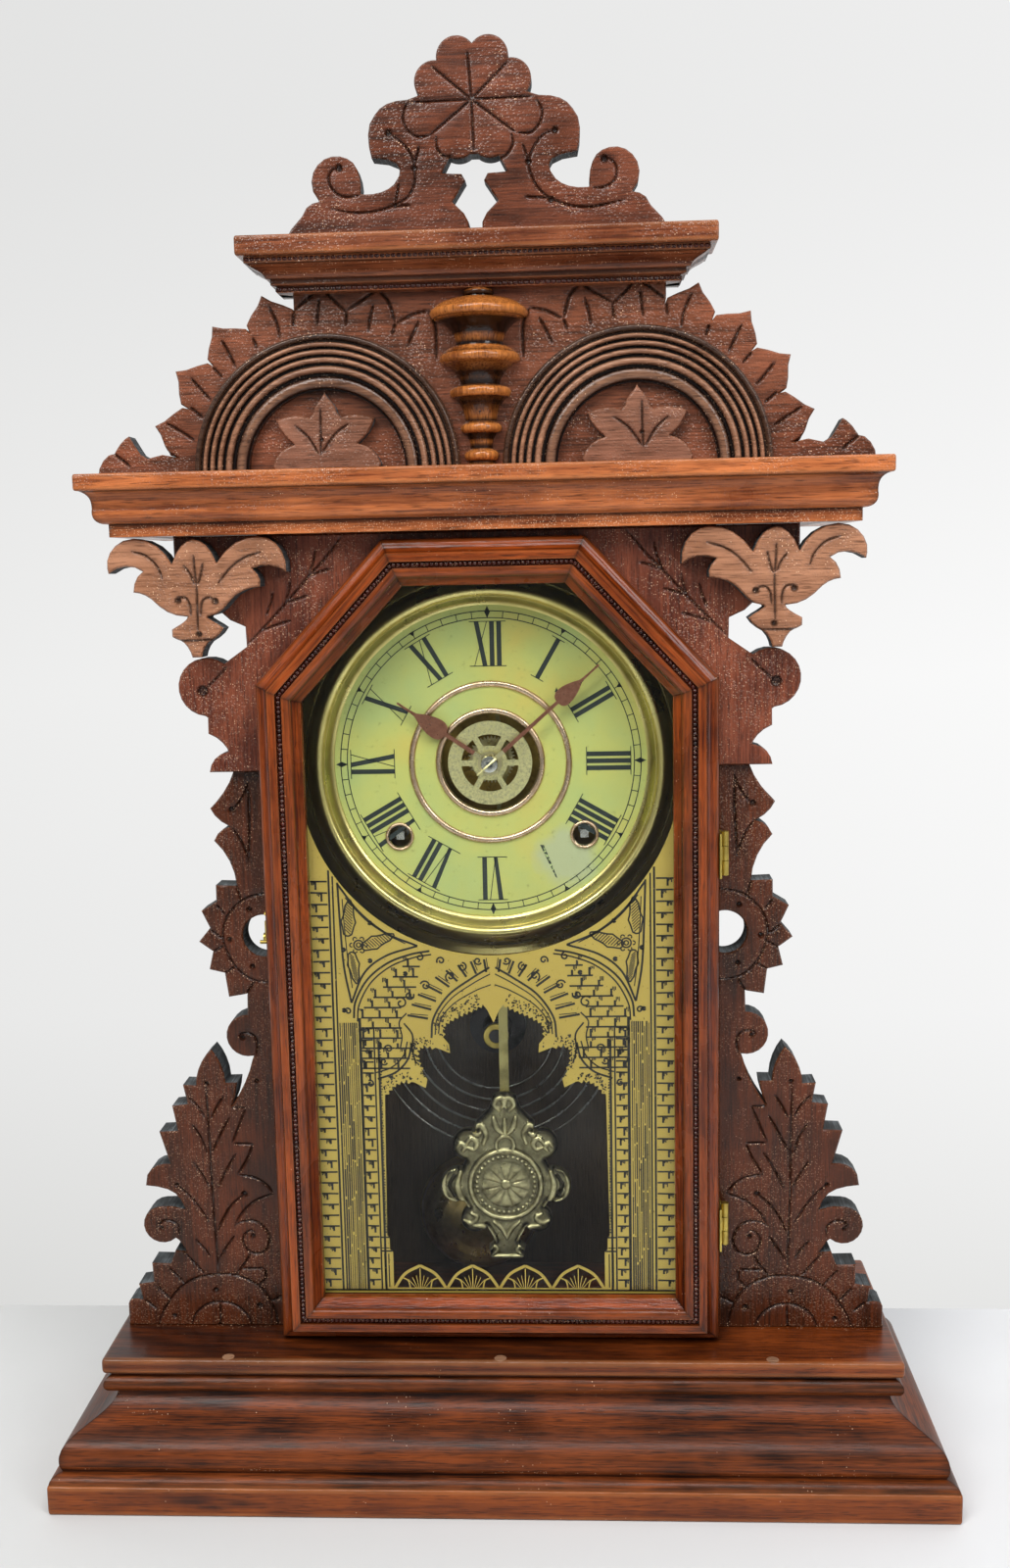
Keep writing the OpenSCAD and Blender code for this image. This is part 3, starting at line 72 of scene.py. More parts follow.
# an empty material, its nodes, and the place on the piece in metres
def newMaterial(name):
    material = bpy.data.materials.new(name)
    material.use_nodes = True
    tree = material.node_tree
    tree.nodes.clear()
    return material, tree, addNode(tree, "ShaderNodeTexCoord").outputs["Object"]


def finishMaterial(material, shader):
    addNode(material.node_tree, "ShaderNodeOutputMaterial", {"Surface": shader})
    return material


# colours laid one over another: a base, then the share and the colour of each layer
def layered(tree, base, layers):
    for share, colour in layers:
        base = addNode(tree, "ShaderNodeMix", {"Factor": share, 6: base, 7: linear(colour)}, data_type="RGBA")
    return base


# ---- walnut and its relations

# light and dark: the two ends of the grain; pore: the open pores of walnut, drawn 0.5 mm wide so that they show;
# pebble: how far the old shellac has crawled into grains; glint: how many of the grains get a painted white glint;
# crownSheen (a painted sheen): how grey the crowns of the grains are painted; a value that a wood leaves out is as in
# plainWood
plainWood = dict(pebble=0.0, glint=0.0, crownSheen=0.0, grainAxis="uv", coat=0.3)
walnutLooks = {
    "carvedWalnut": dict(light="#59280f", dark="#261105", pore="#180703", pebble=0.9, glint=0.9, crownSheen=0.3,
                         grainAxis="z", gloss=0.4),
    "boardWalnut": dict(light="#80432c", dark="#4a2115", pore="#230d08", pebble=0.9, glint=0.7, crownSheen=0.35,
                        grainAxis="z", gloss=0.4),
    "crestWalnut": dict(light="#6f3922", dark="#33190e", pore="#1e0a05", pebble=0.6, glint=0.3, crownSheen=0.2, grainAxis="x",
                        gloss=0.34),
    "pedimentWalnut": dict(light="#8c5036", dark="#442618", pore="#1e0e08", pebble=0.8, glint=0.3, crownSheen=0.3,
                           grainAxis="x", gloss=0.34),
    "leafWalnut": dict(light="#90624d", dark="#593828", pore="#341e14", pebble=0.7, glint=0.3, crownSheen=0.35, grainAxis="x",
                       gloss=0.36),
    "topWalnut": dict(light="#925231", dark="#4c2110", pore="#240e06", pebble=0.6, glint=0.5, crownSheen=0.25, gloss=0.3),
    "corniceWalnut": dict(light="#c4713f", dark="#6e3418", pore="#2a1007", pebble=0.6, glint=0.4, crownSheen=0.25,
                          gloss=0.32),
    "doorWalnut": dict(light="#934010", dark="#401304", pore="#1e0802", pebble=0.1, glint=0.12, gloss=0.25),
    "rippleWalnut": dict(light="#4a1a0f", dark="#1c0805", pore="#0c0302", glint=1.0, crownSheen=0.2, grainAxis="x",
                         gloss=0.2),
    "ogeeWalnut": dict(light="#7c3a12", dark="#1e0a04", pore="#120602", pebble=0.1, glint=0.12, gloss=0.4, coat=0.1),
    "shelfWalnut": dict(light="#863e12", dark="#3a1506", pore="#1c0803", pebble=0.1, glint=0.1, gloss=0.34),
    "plinthWalnut": dict(light="#8c4413", dark="#56250a", pore="#2c1205", pebble=0.05, glint=0.04, gloss=0.36),
    "bracketWalnut": dict(light="#ad7a5c", dark="#7a5038", pore="#452818", pebble=0.8, glint=0.6, crownSheen=0.4,
                          grainAxis="x", gloss=0.38),
    "archWalnut": dict(light="#a97c60", dark="#634230", pore="#2c1a10", pebble=0.3, glint=0.5, crownSheen=0.1, grainAxis="x",
                       gloss=0.2),
    "turnedWalnut": dict(light="#cc7e3c", dark="#6e3a18", pore="#241006", grainAxis="z", gloss=0.12),
    "puttyFill": dict(light="#9a7458", dark="#6b4a38", pore="#402a20", pebble=0.3, glint=0.2, grainAxis="x", gloss=0.6),
    "innerWalnut": dict(light="#33241a", dark="#20150f", pore="#080403", grainAxis="z", gloss=0.6),
    "backPine": dict(light="#4a3a2b", dark="#33271c", pore="#120c07", grainAxis="z", gloss=0.65),
}
# streaks along the grain: length and width in metres, then seed, detail, roughness and twist of the noise
grainStreaks = dict(band=(0.14, 0.009, 3.1, 4.0, 0.6, 0.5), fibre=(0.024, 0.0009, 7.7, 2.0, 0.5, 0.0),
                    pore=(0.007, 0.0005, 1.3, 1.0, 0.4, 0.0), mottle=(0.03, 0.03, 5.5, 3.0, 0.55, 0.0))
# size in metres of the shellac's grains and of the spacing of its painted glints, and the colours laid on: dirt, which
# also paints shade; rubbed wood, which also paints highlights; a painted sheen on the grains' crowns; and the glints
oldShellac = dict(pebble=0.0011, glint=0.0008, dirt="#120806", rubbed="#a0653a", crown="#8a6450", paintedGlint="#e6bb98")


def walnutMaterial(name, look):
    look = {**plainWood, **look}
    material, tree, place = newMaterial(name)
    along = place
    if look["grainAxis"] == "uv":
        along = addNode(tree, "ShaderNodeUVMap", uv_map="grain")
    elif look["grainAxis"] == "z":
        along = addNode(tree, "ShaderNodeMapping", {"Vector": place, "Rotation": (0, math.pi/2, 0)})

    def streaks(long, wide, seed, detail, rough, twist):
        drawnOut = addNode(tree, "ShaderNodeMapping", {"Vector": along, "Location": (seed, seed*0.7, seed*0.3),
                                                       "Scale": (1/long, 1/wide, 1/wide)})
        return addNode(tree, "ShaderNodeTexNoise", {"Vector": drawnOut, "Scale": 1.0, "Detail": detail,
                                                    "Roughness": rough, "Distortion": twist})
    band, fibre, pore, mottle = (streaks(*grainStreaks[k]) for k in ("band", "fibre", "pore", "mottle"))
    mixed = addNode(tree, "ShaderNodeMath", {0: band, 1: fibre}, operation="ADD")
    mixed = addNode(tree, "ShaderNodeMath", {0: mixed, 1: mottle}, operation="ADD")
    lightShare = addNode(tree, "ShaderNodeMapRange", {"Value": mixed, "From Min": 1.18, "From Max": 1.86})
    poreShare = addNode(tree, "ShaderNodeMapRange", {"Value": pore, "From Min": 0.55, "From Max": 0.7, "To Max": 0.6})
    # the piece's own marks: dirt that has settled in the cuts, with painted shade in cuts, grooves and hollows; edges
    # rubbed down to paler wood, with painted highlights on ridges; and strips where nearly every grain gets a painted
    # glint
    grimeAndShade, wearAndHighlight, sparkle = (addNode(tree, "ShaderNodeAttribute", attribute_name=mark).outputs["Fac"]
                            for mark in ("grimeAndShade", "wearAndHighlight", "sparkle"))
    rubbed = addNode(tree, "ShaderNodeMath", {0: wearAndHighlight, 1: mottle}, operation="MULTIPLY")
    # shellac that has crawled into round grains about a millimetre across, in patches; on some of them a white glint
    # is painted, drawn half a millimetre wide so that it shows, and the crowns of the grains get a painted grey sheen
    patch = addNode(tree, "ShaderNodeTexNoise", {"Vector": place, "Scale": 45.0, "Detail": 3.0, "Roughness": 0.6})
    patchShare = addNode(tree, "ShaderNodeMapRange", {"Value": patch, "From Min": 0.38, "From Max": 0.62,
                                                      "To Min": 0.15, "To Max": 1.0})
    grains = addNode(tree, "ShaderNodeTexVoronoi", {"Vector": place, "Scale": 1/oldShellac["pebble"]}, feature="F1")
    dome = addNode(tree, "ShaderNodeMapRange", {"Value": grains, "From Min": 0.0, "From Max": 0.62,
                                                "To Min": 1.0, "To Max": 0.0}, interpolation_type="SMOOTHERSTEP")
    domes = addNode(tree, "ShaderNodeMath", {0: dome, 1: patchShare}, operation="MULTIPLY")
    points = addNode(tree, "ShaderNodeTexVoronoi", {"Vector": place, "Scale": 1/oldShellac["glint"]}, feature="F1")
    spot = addNode(tree, "ShaderNodeMapRange", {"Value": points, "From Min": 0.16, "From Max": 0.34,
                                                "To Min": 1.0, "To Max": 0.0})
    chance = addNode(tree, "ShaderNodeSeparateColor", {"Color": points.outputs["Color"]})
    crowd = addNode(tree, "ShaderNodeMath", {0: chance, 1: patchShare, 2: sparkle}, operation="MULTIPLY_ADD")
    chosen = addNode(tree, "ShaderNodeMath", {0: crowd, 1: 1 - 0.8*look["glint"]}, operation="GREATER_THAN")
    glintShare = addNode(tree, "ShaderNodeMath", {0: spot, 1: chosen}, operation="MULTIPLY")
    strength = addNode(tree, "ShaderNodeMath", {0: chance.outputs[1], 1: 1.8}, operation="POWER")
    glintShare = addNode(tree, "ShaderNodeMath", {0: glintShare, 1: strength}, operation="MULTIPLY")
    crownSheenShare = addNode(tree, "ShaderNodeMath", {0: domes, 1: 0.8*look["crownSheen"]}, operation="MULTIPLY")
    wood = layered(tree, linear(look["dark"]), (
        (lightShare, look["light"]), (poreShare, look["pore"]), (grimeAndShade, oldShellac["dirt"]),
        (rubbed, oldShellac["rubbed"]), (crownSheenShare, oldShellac["crown"]), (glintShare, oldShellac["paintedGlint"])))
    grainBump = addNode(tree, "ShaderNodeBump", {"Height": pore, "Strength": 0.35, "Distance": 0.0002}, invert=True)
    bump = addNode(tree, "ShaderNodeBump", {"Height": domes, "Normal": grainBump, "Strength": look["pebble"],
                                            "Distance": 0.00022})
    dull = addNode(tree, "ShaderNodeMapRange", {"Value": mottle, "From Min": 0.3, "From Max": 0.7,
                                                "To Min": look["gloss"] - 0.06, "To Max": look["gloss"] + 0.12})
    return finishMaterial(material, addNode(tree, "ShaderNodeBsdfPrincipled", {
        "Base Color": wood, "Roughness": dull, "Normal": bump, "Specular IOR Level": 0.18,
        "Coat Weight": look["coat"], "Coat Roughness": 0.14, "Coat Normal": bump}))


woods = {name: walnutMaterial(name, look) for name, look in walnutLooks.items()}


# the sawn sides of the fretwork: dusty grey-brown end grain with the marks of the scroll saw, 0.7 mm apart
def sawnEdgeMaterial():
    material, tree, place = newMaterial("sawnWalnutEdge")
    marks = addNode(tree, "ShaderNodeTexNoise", {"Vector": addNode(tree, "ShaderNodeMapping", {
        "Vector": place, "Scale": (1400, 60, 1400)}), "Scale": 1.0, "Detail": 2.0})
    dust = addNode(tree, "ShaderNodeTexNoise", {"Vector": place, "Scale": 90.0, "Detail": 3.0})
    both = addNode(tree, "ShaderNodeMath", {0: marks, 1: dust}, operation="ADD")
    colour = addNode(tree, "ShaderNodeValToRGB", {"Fac": addNode(tree, "ShaderNodeMapRange", {
        "Value": both, "From Min": 0.75, "From Max": 1.3})}, stops=((0, "#1c1c1c"), (0.5, "#34383a"), (1, "#5a5f62")))
    bump = addNode(tree, "ShaderNodeBump", {"Height": marks, "Strength": 0.6, "Distance": 0.0003})
    return finishMaterial(material, addNode(tree, "ShaderNodeBsdfPrincipled", {
        "Base Color": colour, "Roughness": 0.75, "Normal": bump}))


sawnEdge = sawnEdgeMaterial()

# ---- metals, paper, glass

# colour and tarnish: the two colours of the metal; scratch: spacing in metres of the fine lines left by polishing;
# spot: size in metres of the tarnish
metalLooks = {
    "agedBrass": dict(colour="#c8b15c", tarnish="#86723a", rough=0.34, scratch=0.0007, spot=0.012),
    "bezelBrass": dict(colour="#e2d28c", tarnish="#bfae68", rough=0.26, scratch=0.0006, spot=0.03),
    "discBrass": dict(colour="#efe6a8", tarnish="#a9a482", rough=0.36, scratch=0.0007, spot=0.0012),
    "movementBrass": dict(colour="#b99a4e", tarnish="#6d5526", rough=0.38, scratch=0.0008, spot=0.01),
    "rodBrass": dict(colour="#a79c66", tarnish="#6f6640", rough=0.42, scratch=0.0007, spot=0.012),
    "bluedSteel": dict(colour="#6a6d72", tarnish="#2f3034", rough=0.34, scratch=0.0007, spot=0.008),
    "gongSteel": dict(colour="#8d8c88", tarnish="#5a5956", rough=0.24, scratch=0.0007, spot=0.01),
    "oldCopper": dict(colour="#dcc0a4", tarnish="#b08c70", rough=0.24, scratch=0.0006, spot=0.007),
    "copperedHands": dict(colour="#b57c66", tarnish="#7c5040", rough=0.3, scratch=0.0006, spot=0.005, hub="#d8cda0"),
    "brightSteel": dict(colour="#cfcdc6", tarnish="#8f8d86", rough=0.22, scratch=0.0007, spot=0.006),
    "pewterGilt": dict(colour="#bdb48a", tarnish="#6d6548", rough=0.33, scratch=0.0008, spot=0.004),
    "gongIron": dict(colour="#3b3a3c", tarnish="#1d1b1b", rough=0.5, scratch=0.0008, spot=0.008),
    "bellBronze": dict(colour="#b59c62", tarnish="#6a5832", rough=0.3, scratch=0.0008, spot=0.01),
}
handHub = dict(axis=(0, 0, 0.305), reach=0.0078)


def metalMaterial(name, look):
    material, tree, place = newMaterial(name)
    spots = addNode(tree, "ShaderNodeTexNoise", {"Vector": place, "Scale": 1/look["spot"], "Detail": 5.0,
                                                 "Roughness": 0.62})
    lines = addNode(tree, "ShaderNodeTexNoise", {"Vector": place, "Scale": 1/look["scratch"], "Detail": 2.0})
    layers = [(addNode(tree, "ShaderNodeMapRange", {"Value": spots, "From Min": 0.42, "From Max": 0.72}),
               look["tarnish"])]
    if "hub" in look:
        # the hub and wheel of a hand are plain brass: all that lies near its axis or behind the dial
        off = addNode(tree, "ShaderNodeVectorMath", {0: place, 1: handHub["axis"]}, operation="SUBTRACT")
        across = addNode(tree, "ShaderNodeVectorMath", {0: off, 1: (1, 0, 1)}, operation="MULTIPLY")
        reach = addNode(tree, "ShaderNodeVectorMath", {0: across}, operation="LENGTH").outputs["Value"]
        near = addNode(tree, "ShaderNodeMath", {0: reach, 1: handHub["reach"]}, operation="LESS_THAN")
        depth = addNode(tree, "ShaderNodeSeparateXYZ", {0: place}).outputs["Y"]
        behind = addNode(tree, "ShaderNodeMath", {0: depth, 1: 0.0}, operation="GREATER_THAN")
        layers.append((addNode(tree, "ShaderNodeMath", {0: near, 1: behind}, operation="MAXIMUM"), look["hub"]))
    # dark where the piece is marked: painted shade with dirt in the bezel's grooves and in the bob's low places
    layers.append((addNode(tree, "ShaderNodeAttribute", attribute_name="grimeAndShade").outputs["Fac"], "#1c1710"))
    rough = addNode(tree, "ShaderNodeMapRange", {"Value": spots, "From Min": 0.35, "From Max": 0.75,
                                                 "To Min": look["rough"] - 0.06, "To Max": look["rough"] + 0.2})
    bump = addNode(tree, "ShaderNodeBump", {"Height": lines, "Strength": 0.12, "Distance": 0.0001})
    return finishMaterial(material, addNode(tree, "ShaderNodeBsdfPrincipled", {
        "Base Color": layered(tree, linear(look["colour"]), layers), "Metallic": 1.0, "Roughness": rough,
        "Normal": bump}))


metals = {name: metalMaterial(name, look) for name, look in metalLooks.items()}

# the worn patch of the dial, low on the right: its place and radius, and how far its ragged edge runs, in metres
wornPatch = dict(place=(0.0315, 0.0015, 0.2645), radius=0.0125, ragged=0.012)


# how worn the dial is at a place: one soft round patch with a ragged edge
def wornShare(tree, place):
    local = addNode(tree, "ShaderNodeVectorMath", {0: place, 1: wornPatch["place"]}, operation="SUBTRACT")
    reach = addNode(tree, "ShaderNodeVectorMath", {0: local}, operation="LENGTH").outputs["Value"]
    noise = addNode(tree, "ShaderNodeTexNoise", {"Vector": place, "Scale": 130.0, "Detail": 4.0})
    edge = addNode(tree, "ShaderNodeMath", {0: noise, 1: wornPatch["ragged"], 2: reach}, operation="MULTIPLY_ADD")
    return addNode(tree, "ShaderNodeMapRange", {"Value": edge, "From Min": wornPatch["radius"] + 0.009,
                                                "From Max": wornPatch["radius"] + 0.002, "To Max": 0.5})


# zinc dial with aged enamel paint: yellow-green, blotched, and rubbed grey in the worn patch
def dialPaintMaterial():
    material, tree, place = newMaterial("agedDialPaint")
    blotch = addNode(tree, "ShaderNodeTexNoise", {"Vector": place, "Scale": 22.0, "Detail": 5.0, "Roughness": 0.55})
    speck = addNode(tree, "ShaderNodeTexNoise", {"Vector": place, "Scale": 420.0, "Detail": 3.0, "Roughness": 0.6})
    paint = addNode(tree, "ShaderNodeValToRGB", {"Fac": blotch},
                    stops=((0.34, "#c0b35c"), (0.46, "#b7b865"), (0.62, "#a9b56e")))
    rubbed = addNode(tree, "ShaderNodeMath", {0: wornShare(tree, place), 1: 1.7}, operation="MULTIPLY")
    dirt = addNode(tree, "ShaderNodeMapRange", {"Value": speck, "From Min": 0.62, "From Max": 0.78, "To Max": 0.45})
    bump = addNode(tree, "ShaderNodeBump", {"Height": speck, "Strength": 0.15, "Distance": 0.0001})
    return finishMaterial(material, addNode(tree, "ShaderNodeBsdfPrincipled", {
        "Base Color": layered(tree, paint, ((rubbed, "#abb18c"), (dirt, "#6f7440"))), "Roughness": 0.42,
        "Normal": bump, "Coat Weight": 0.2}))


# clear window glass: almost all of the light goes through, and the rest is a sharp reflection that grows at the edge;
# only the face towards the eye reflects, because light goes straight through this thin pane
def windowGlassMaterial():
    material, tree, _ = newMaterial("windowGlass")
    clear = addNode(tree, "ShaderNodeBsdfTransparent", {"Color": (0.96, 0.975, 0.965, 1)})
    shine = addNode(tree, "ShaderNodeBsdfGlossy", {"Color": (1, 1, 1, 1), "Roughness": 0.02})
    share = addNode(tree, "ShaderNodeMath", {0: addNode(tree, "ShaderNodeFresnel", {"IOR": 1.29}),
                                             1: addNode(tree, "ShaderNodeNewGeometry").outputs["Backfacing"]},
                    operation="SUBTRACT", use_clamp=True)
    return finishMaterial(material, addNode(tree, "ShaderNodeMixShader", {0: share, 1: clear, 2: shine}))


# black printing ink on the dial, rubbed away in the worn patch and speckled elsewhere
def dialInkMaterial():
    material, tree, place = newMaterial("wornDialInk")
    fleck = addNode(tree, "ShaderNodeTexNoise", {"Vector": place, "Scale": 700.0, "Detail": 3.0, "Roughness": 0.7})
    worn = addNode(tree, "ShaderNodeMath", {0: wornShare(tree, place), 1: 0.36, 2: fleck}, operation="MULTIPLY_ADD")
    share = addNode(tree, "ShaderNodeMapRange", {"Value": worn, "From Min": 0.68, "From Max": 0.78})
    return finishMaterial(material, addNode(tree, "ShaderNodeBsdfPrincipled", {
        "Base Color": layered(tree, linear("#1d2725"), ((share, "#aebd7e"),)), "Roughness": 0.5}))


# gold size and bronze powder on the back of the glass: flat, softly metallic, with small dark losses
def giltLeafMaterial():
    material, tree, place = newMaterial("bronzeGilding")
    cloud = addNode(tree, "ShaderNodeTexNoise", {"Vector": place, "Scale": 30.0, "Detail": 4.0})
    speck = addNode(tree, "ShaderNodeTexNoise", {"Vector": place, "Scale": 900.0, "Detail": 2.0, "Roughness": 0.6})
    loss = addNode(tree, "ShaderNodeMapRange", {"Value": speck, "From Min": 0.7, "From Max": 0.74, "To Max": 0.85})
    gold = layered(tree, linear("#c2a850"), ((cloud, "#ae9545"), (loss, "#2a2212")))
    return finishMaterial(material, addNode(tree, "ShaderNodeBsdfPrincipled", {
        "Base Color": gold, "Metallic": 0.3, "Roughness": 0.45}))


# black japan lines drawn on the gilding
def tabletInkMaterial():
    material, tree, place = newMaterial("blackJapanLines")
    fleck = addNode(tree, "ShaderNodeTexNoise", {"Vector": place, "Scale": 800.0, "Detail": 3.0, "Roughness": 0.7})
    share = addNode(tree, "ShaderNodeMapRange", {"Value": fleck, "From Min": 0.66, "From Max": 0.72, "To Max": 0.8})
    return finishMaterial(material, addNode(tree, "ShaderNodeBsdfPrincipled", {
        "Base Color": layered(tree, linear("#0b0906"), ((share, "#b79b48"),)), "Roughness": 0.4}))


dialPaint = dialPaintMaterial()
dialInk = dialInkMaterial()
giltLeaf = giltLeafMaterial()
tabletInk = tabletInkMaterial()
windowGlass = windowGlassMaterial()

# ---- meshes from arrays


def newObject(name, data):
    made = bpy.data.objects.new(name, data)
    bpy.context.scene.collection.objects.link(made)
    return made


# one object from points in millimetres and arrays of triangles or quads
def buildPiece(name, points, faceSets, material, body, slot, covers=(), sharpAngle=38, grain=None, marks=None,
               faceMaterial=None):
    mesh = bpy.data.meshes.new(name)
    points = np.asarray(points, float)
    mesh.vertices.add(len(points))
    mesh.vertices.foreach_set("co", (points*0.001).astype(np.float32).ravel())
    faceSets = [np.asarray(f, np.int32) for f in faceSets if len(f)]
    corners = np.concatenate([f.ravel() for f in faceSets])
    sizes = np.concatenate([np.full(len(f), f.shape[1], np.int32) for f in faceSets])
    mesh.loops.add(len(corners))
    mesh.loops.foreach_set("vertex_index", corners)
    mesh.polygons.add(len(sizes))
    mesh.polygons.foreach_set("loop_start", np.concatenate([[0], np.cumsum(sizes)[:-1]]).astype(np.int32))
    mesh.polygons.foreach_set("use_smooth", np.ones(len(sizes), bool))
    for part in (material if isinstance(material, (list, tuple)) else [material]):
        mesh.materials.append(part)
    if faceMaterial is not None:
        mesh.polygons.foreach_set("material_index", np.asarray(faceMaterial, np.int32))
    for key, values in (marks or {}).items():
        mesh.attributes.new(key, "FLOAT", "POINT").data.foreach_set("value", np.asarray(values, np.float32))
    if grain is not None:
        layer = mesh.uv_layers.new(name="grain")
        layer.data.foreach_set("uv", np.asarray(grain, np.float32)[corners].ravel())
    mesh.update(calc_edges=True)
    mesh.validate()
    mesh.set_sharp_from_angle(angle=math.radians(sharpAngle))
    piece = newObject(name, mesh)
    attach(piece, body)
    if covers:
        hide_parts(*covers)
    return piece


# the closed outlines, in millimetres, of the flat front of a CAD board, in X and Z
def boardOutlines(nodeName, plane=None):
    mesh = cadNodes[nodeName].data
    mesh.calc_loop_triangles()
    points = np.empty(len(mesh.vertices)*3, np.float32)
    mesh.vertices.foreach_get("co", points)
    points = points.reshape(-1, 3).astype(float)*1000
    corners = np.empty(len(mesh.loop_triangles)*3, np.int32)
    mesh.loop_triangles.foreach_get("vertices", corners)
    keys, same = np.unique(np.round(points, 3), axis=0, return_inverse=True)
    triangles = same.ravel()[corners].reshape(-1, 3)
    front = keys[:, 1].min() if plane is None else plane
    triangles = triangles[(np.abs(keys[triangles, 1] - front) < 0.002).all(axis=1)]
    edges = np.concatenate([triangles[:, [0, 1]], triangles[:, [1, 2]], triangles[:, [2, 0]]])
    back = set(map(tuple, edges[:, ::-1].tolist()))
    follow = {a: b for a, b in edges.tolist() if (a, b) not in back}
    loops = []
    while follow:
        start = here = next(iter(follow))
        loop = []
        while here in follow:
            loop.append(here)
            here = follow.pop(here)
        loops.append(keys[loop][:, [0, 2]])
    return loops, front, keys[:, 1].max()


# points every step along each closed outline
def evenLoop(loop, step):
    nextPoints = np.roll(loop, -1, axis=0)
    count = np.maximum(1, np.ceil(np.linalg.norm(nextPoints - loop, axis=1)/step)).astype(int)
    start = np.repeat(np.arange(len(loop)), count)
    share = (np.arange(len(start)) - np.repeat(np.cumsum(count) - count, count))/count[start]
    return loop[start] + (nextPoints - loop)[start]*share[:, None]


# a fine grid over a board that holds how far each place lies inside its outline: the distance is stamped round every
# point of the outline, and each grid row is inside after an odd number of crossings
def outlineField(loops, cell=0.3, reach=4.5):
    dense = np.concatenate([evenLoop(loop, cell) for loop in loops])
    corner = dense.min(axis=0) - reach - 2*cell
    shape = np.ceil((dense.max(axis=0) + reach + 2*cell - corner)/cell).astype(int) + 1
    r = int(reach/cell)
    stepX, stepZ = (g.ravel() for g in np.meshgrid(np.arange(-r, r + 1), np.arange(-r, r + 1), indexing="ij"))
    base = np.round((dense - corner)/cell).astype(int)
    columns, rows = base[:, :1] + stepX, base[:, 1:] + stepZ
    gap = np.hypot(corner[0] + columns*cell - dense[:, :1], corner[1] + rows*cell - dense[:, 1:])
    near = np.full(shape[0]*shape[1], float(reach))
    np.minimum.at(near, (columns*shape[1] + rows).ravel(), gap.ravel())
    start = np.concatenate(loops)
    way = np.concatenate([np.roll(loop, -1, axis=0) - loop for loop in loops])
    low, high = np.minimum(start[:, 1], start[:, 1] + way[:, 1]), np.maximum(start[:, 1], start[:, 1] + way[:, 1])
    first, last = (np.ceil((v - corner[1])/cell).astype(int) for v in (low, high))
    count = last - first
    edge = np.repeat(np.arange(len(start)), count)
    row = np.arange(len(edge)) - np.repeat(np.cumsum(count) - count, count) + first[edge]
    x = start[edge, 0] + (corner[1] + row*cell - start[edge, 1])*way[edge, 0]/way[edge, 1]
    flips = np.zeros(shape, int)
    np.add.at(flips, (np.ceil((x - corner[0])/cell).astype(int), row), 1)
    near = near.reshape(shape)
    return corner, cell, np.where(np.cumsum(flips, axis=0) % 2 == 1, near, -near)


# the grid's value between its four nearest places
def readField(field, x, z):
    corner, cell, values = field
    u, v = (x - corner[0])/cell, (z - corner[1])/cell
    i = np.clip(u.astype(int), 0, values.shape[0] - 2)
    j = np.clip(v.astype(int), 0, values.shape[1] - 2)
    u, v = np.clip(u - i, 0, 1), np.clip(v - j, 0, 1)
    return (values[i, j]*(1 - u)*(1 - v) + values[i + 1, j]*u*(1 - v) + values[i, j + 1]*(1 - u)*v
            + values[i + 1, j + 1]*u*v)


# whether points lie inside the outlines, by the even-odd rule
def isInside(loops, points):
    a = np.concatenate(loops)
    d = np.concatenate([np.roll(loop, -1, axis=0) for loop in loops]) - a
    x, z = points[:, :1], points[:, 1:]
    slope = d[:, 0]/np.where(np.abs(d[:, 1]) < 1e-9, 1e-9, d[:, 1])
    return (((a[:, 1] > z) != (a[:, 1] + d[:, 1] > z)) & (x < a[:, 0] + (z - a[:, 1])*slope)).sum(axis=1) % 2 == 1


# triangles that fill the outlines, through extra points inside them, all turned towards the front
def fillOutlines(loops, extra=None):
    every = np.concatenate(loops)
    starts = np.cumsum([0] + [len(loop) for loop in loops])
    edges = np.concatenate([np.column_stack([np.arange(a, b), np.roll(np.arange(a, b), -1)])
                            for a, b in zip(starts[:-1], starts[1:])])
    net = every if extra is None else np.concatenate([every, extra])
    result = delaunay_2d_cdt(net.tolist(), edges.tolist(), [], 0, 1e-7)
    flat = np.array([v[:] for v in result[0]])
    onRim = np.array([(not came) or min(came) < len(every) for came in result[3]])
    triangles = np.array(result[2])
    unsure = onRim[triangles].all(axis=1)
    keep = ~unsure
    keep[unsure] = isInside(loops, flat[triangles[unsure]].mean(axis=1))
    triangles = triangles[keep]
    d1, d2 = flat[triangles[:, 1]] - flat[triangles[:, 0]], flat[triangles[:, 2]] - flat[triangles[:, 0]]
    turned = d1[:, 0]*d2[:, 1] - d1[:, 1]*d2[:, 0] < 0
    triangles[turned] = triangles[turned][:, ::-1]
    return flat, triangles, onRim


# the edges that only one triangle has
def loneEdges(triangles, count):
    edges = np.concatenate([triangles[:, [0, 1]], triangles[:, [1, 2]], triangles[:, [2, 0]]]).astype(np.int64)
    return edges[~np.isin(edges[:, 0]*count + edges[:, 1], edges[:, 1]*count + edges[:, 0])]


# how far along a line each of its points lies
def runAlong(line):
    return np.concatenate([[0], np.cumsum(np.linalg.norm(np.diff(line, axis=0), axis=1))])


# a smooth curve through points (Catmull-Rom), with the given number of steps between two of them
def curveThrough(points, steps):
    p = np.asarray(points, float)
    q = np.concatenate([[2*p[0] - p[1]], p, [2*p[-1] - p[-2]]])
    t = np.linspace(0, 1, steps, endpoint=False)[:, None]
    return np.concatenate([0.5*(2*q[i + 1] + (q[i + 2] - q[i])*t + (2*q[i] - 5*q[i + 1] + 4*q[i + 2] - q[i + 3])*t**2
                                + (3*q[i + 1] - q[i] - 3*q[i + 2] + q[i + 3])*t**3) for i in range(len(p) - 1)]
                          + [p[-1:]])


# height of a half-round ridge, from 0 to 1, at a distance from its middle
def halfRound(away, reach):
    return np.sqrt(np.maximum(0, 1 - (away/reach)**2))


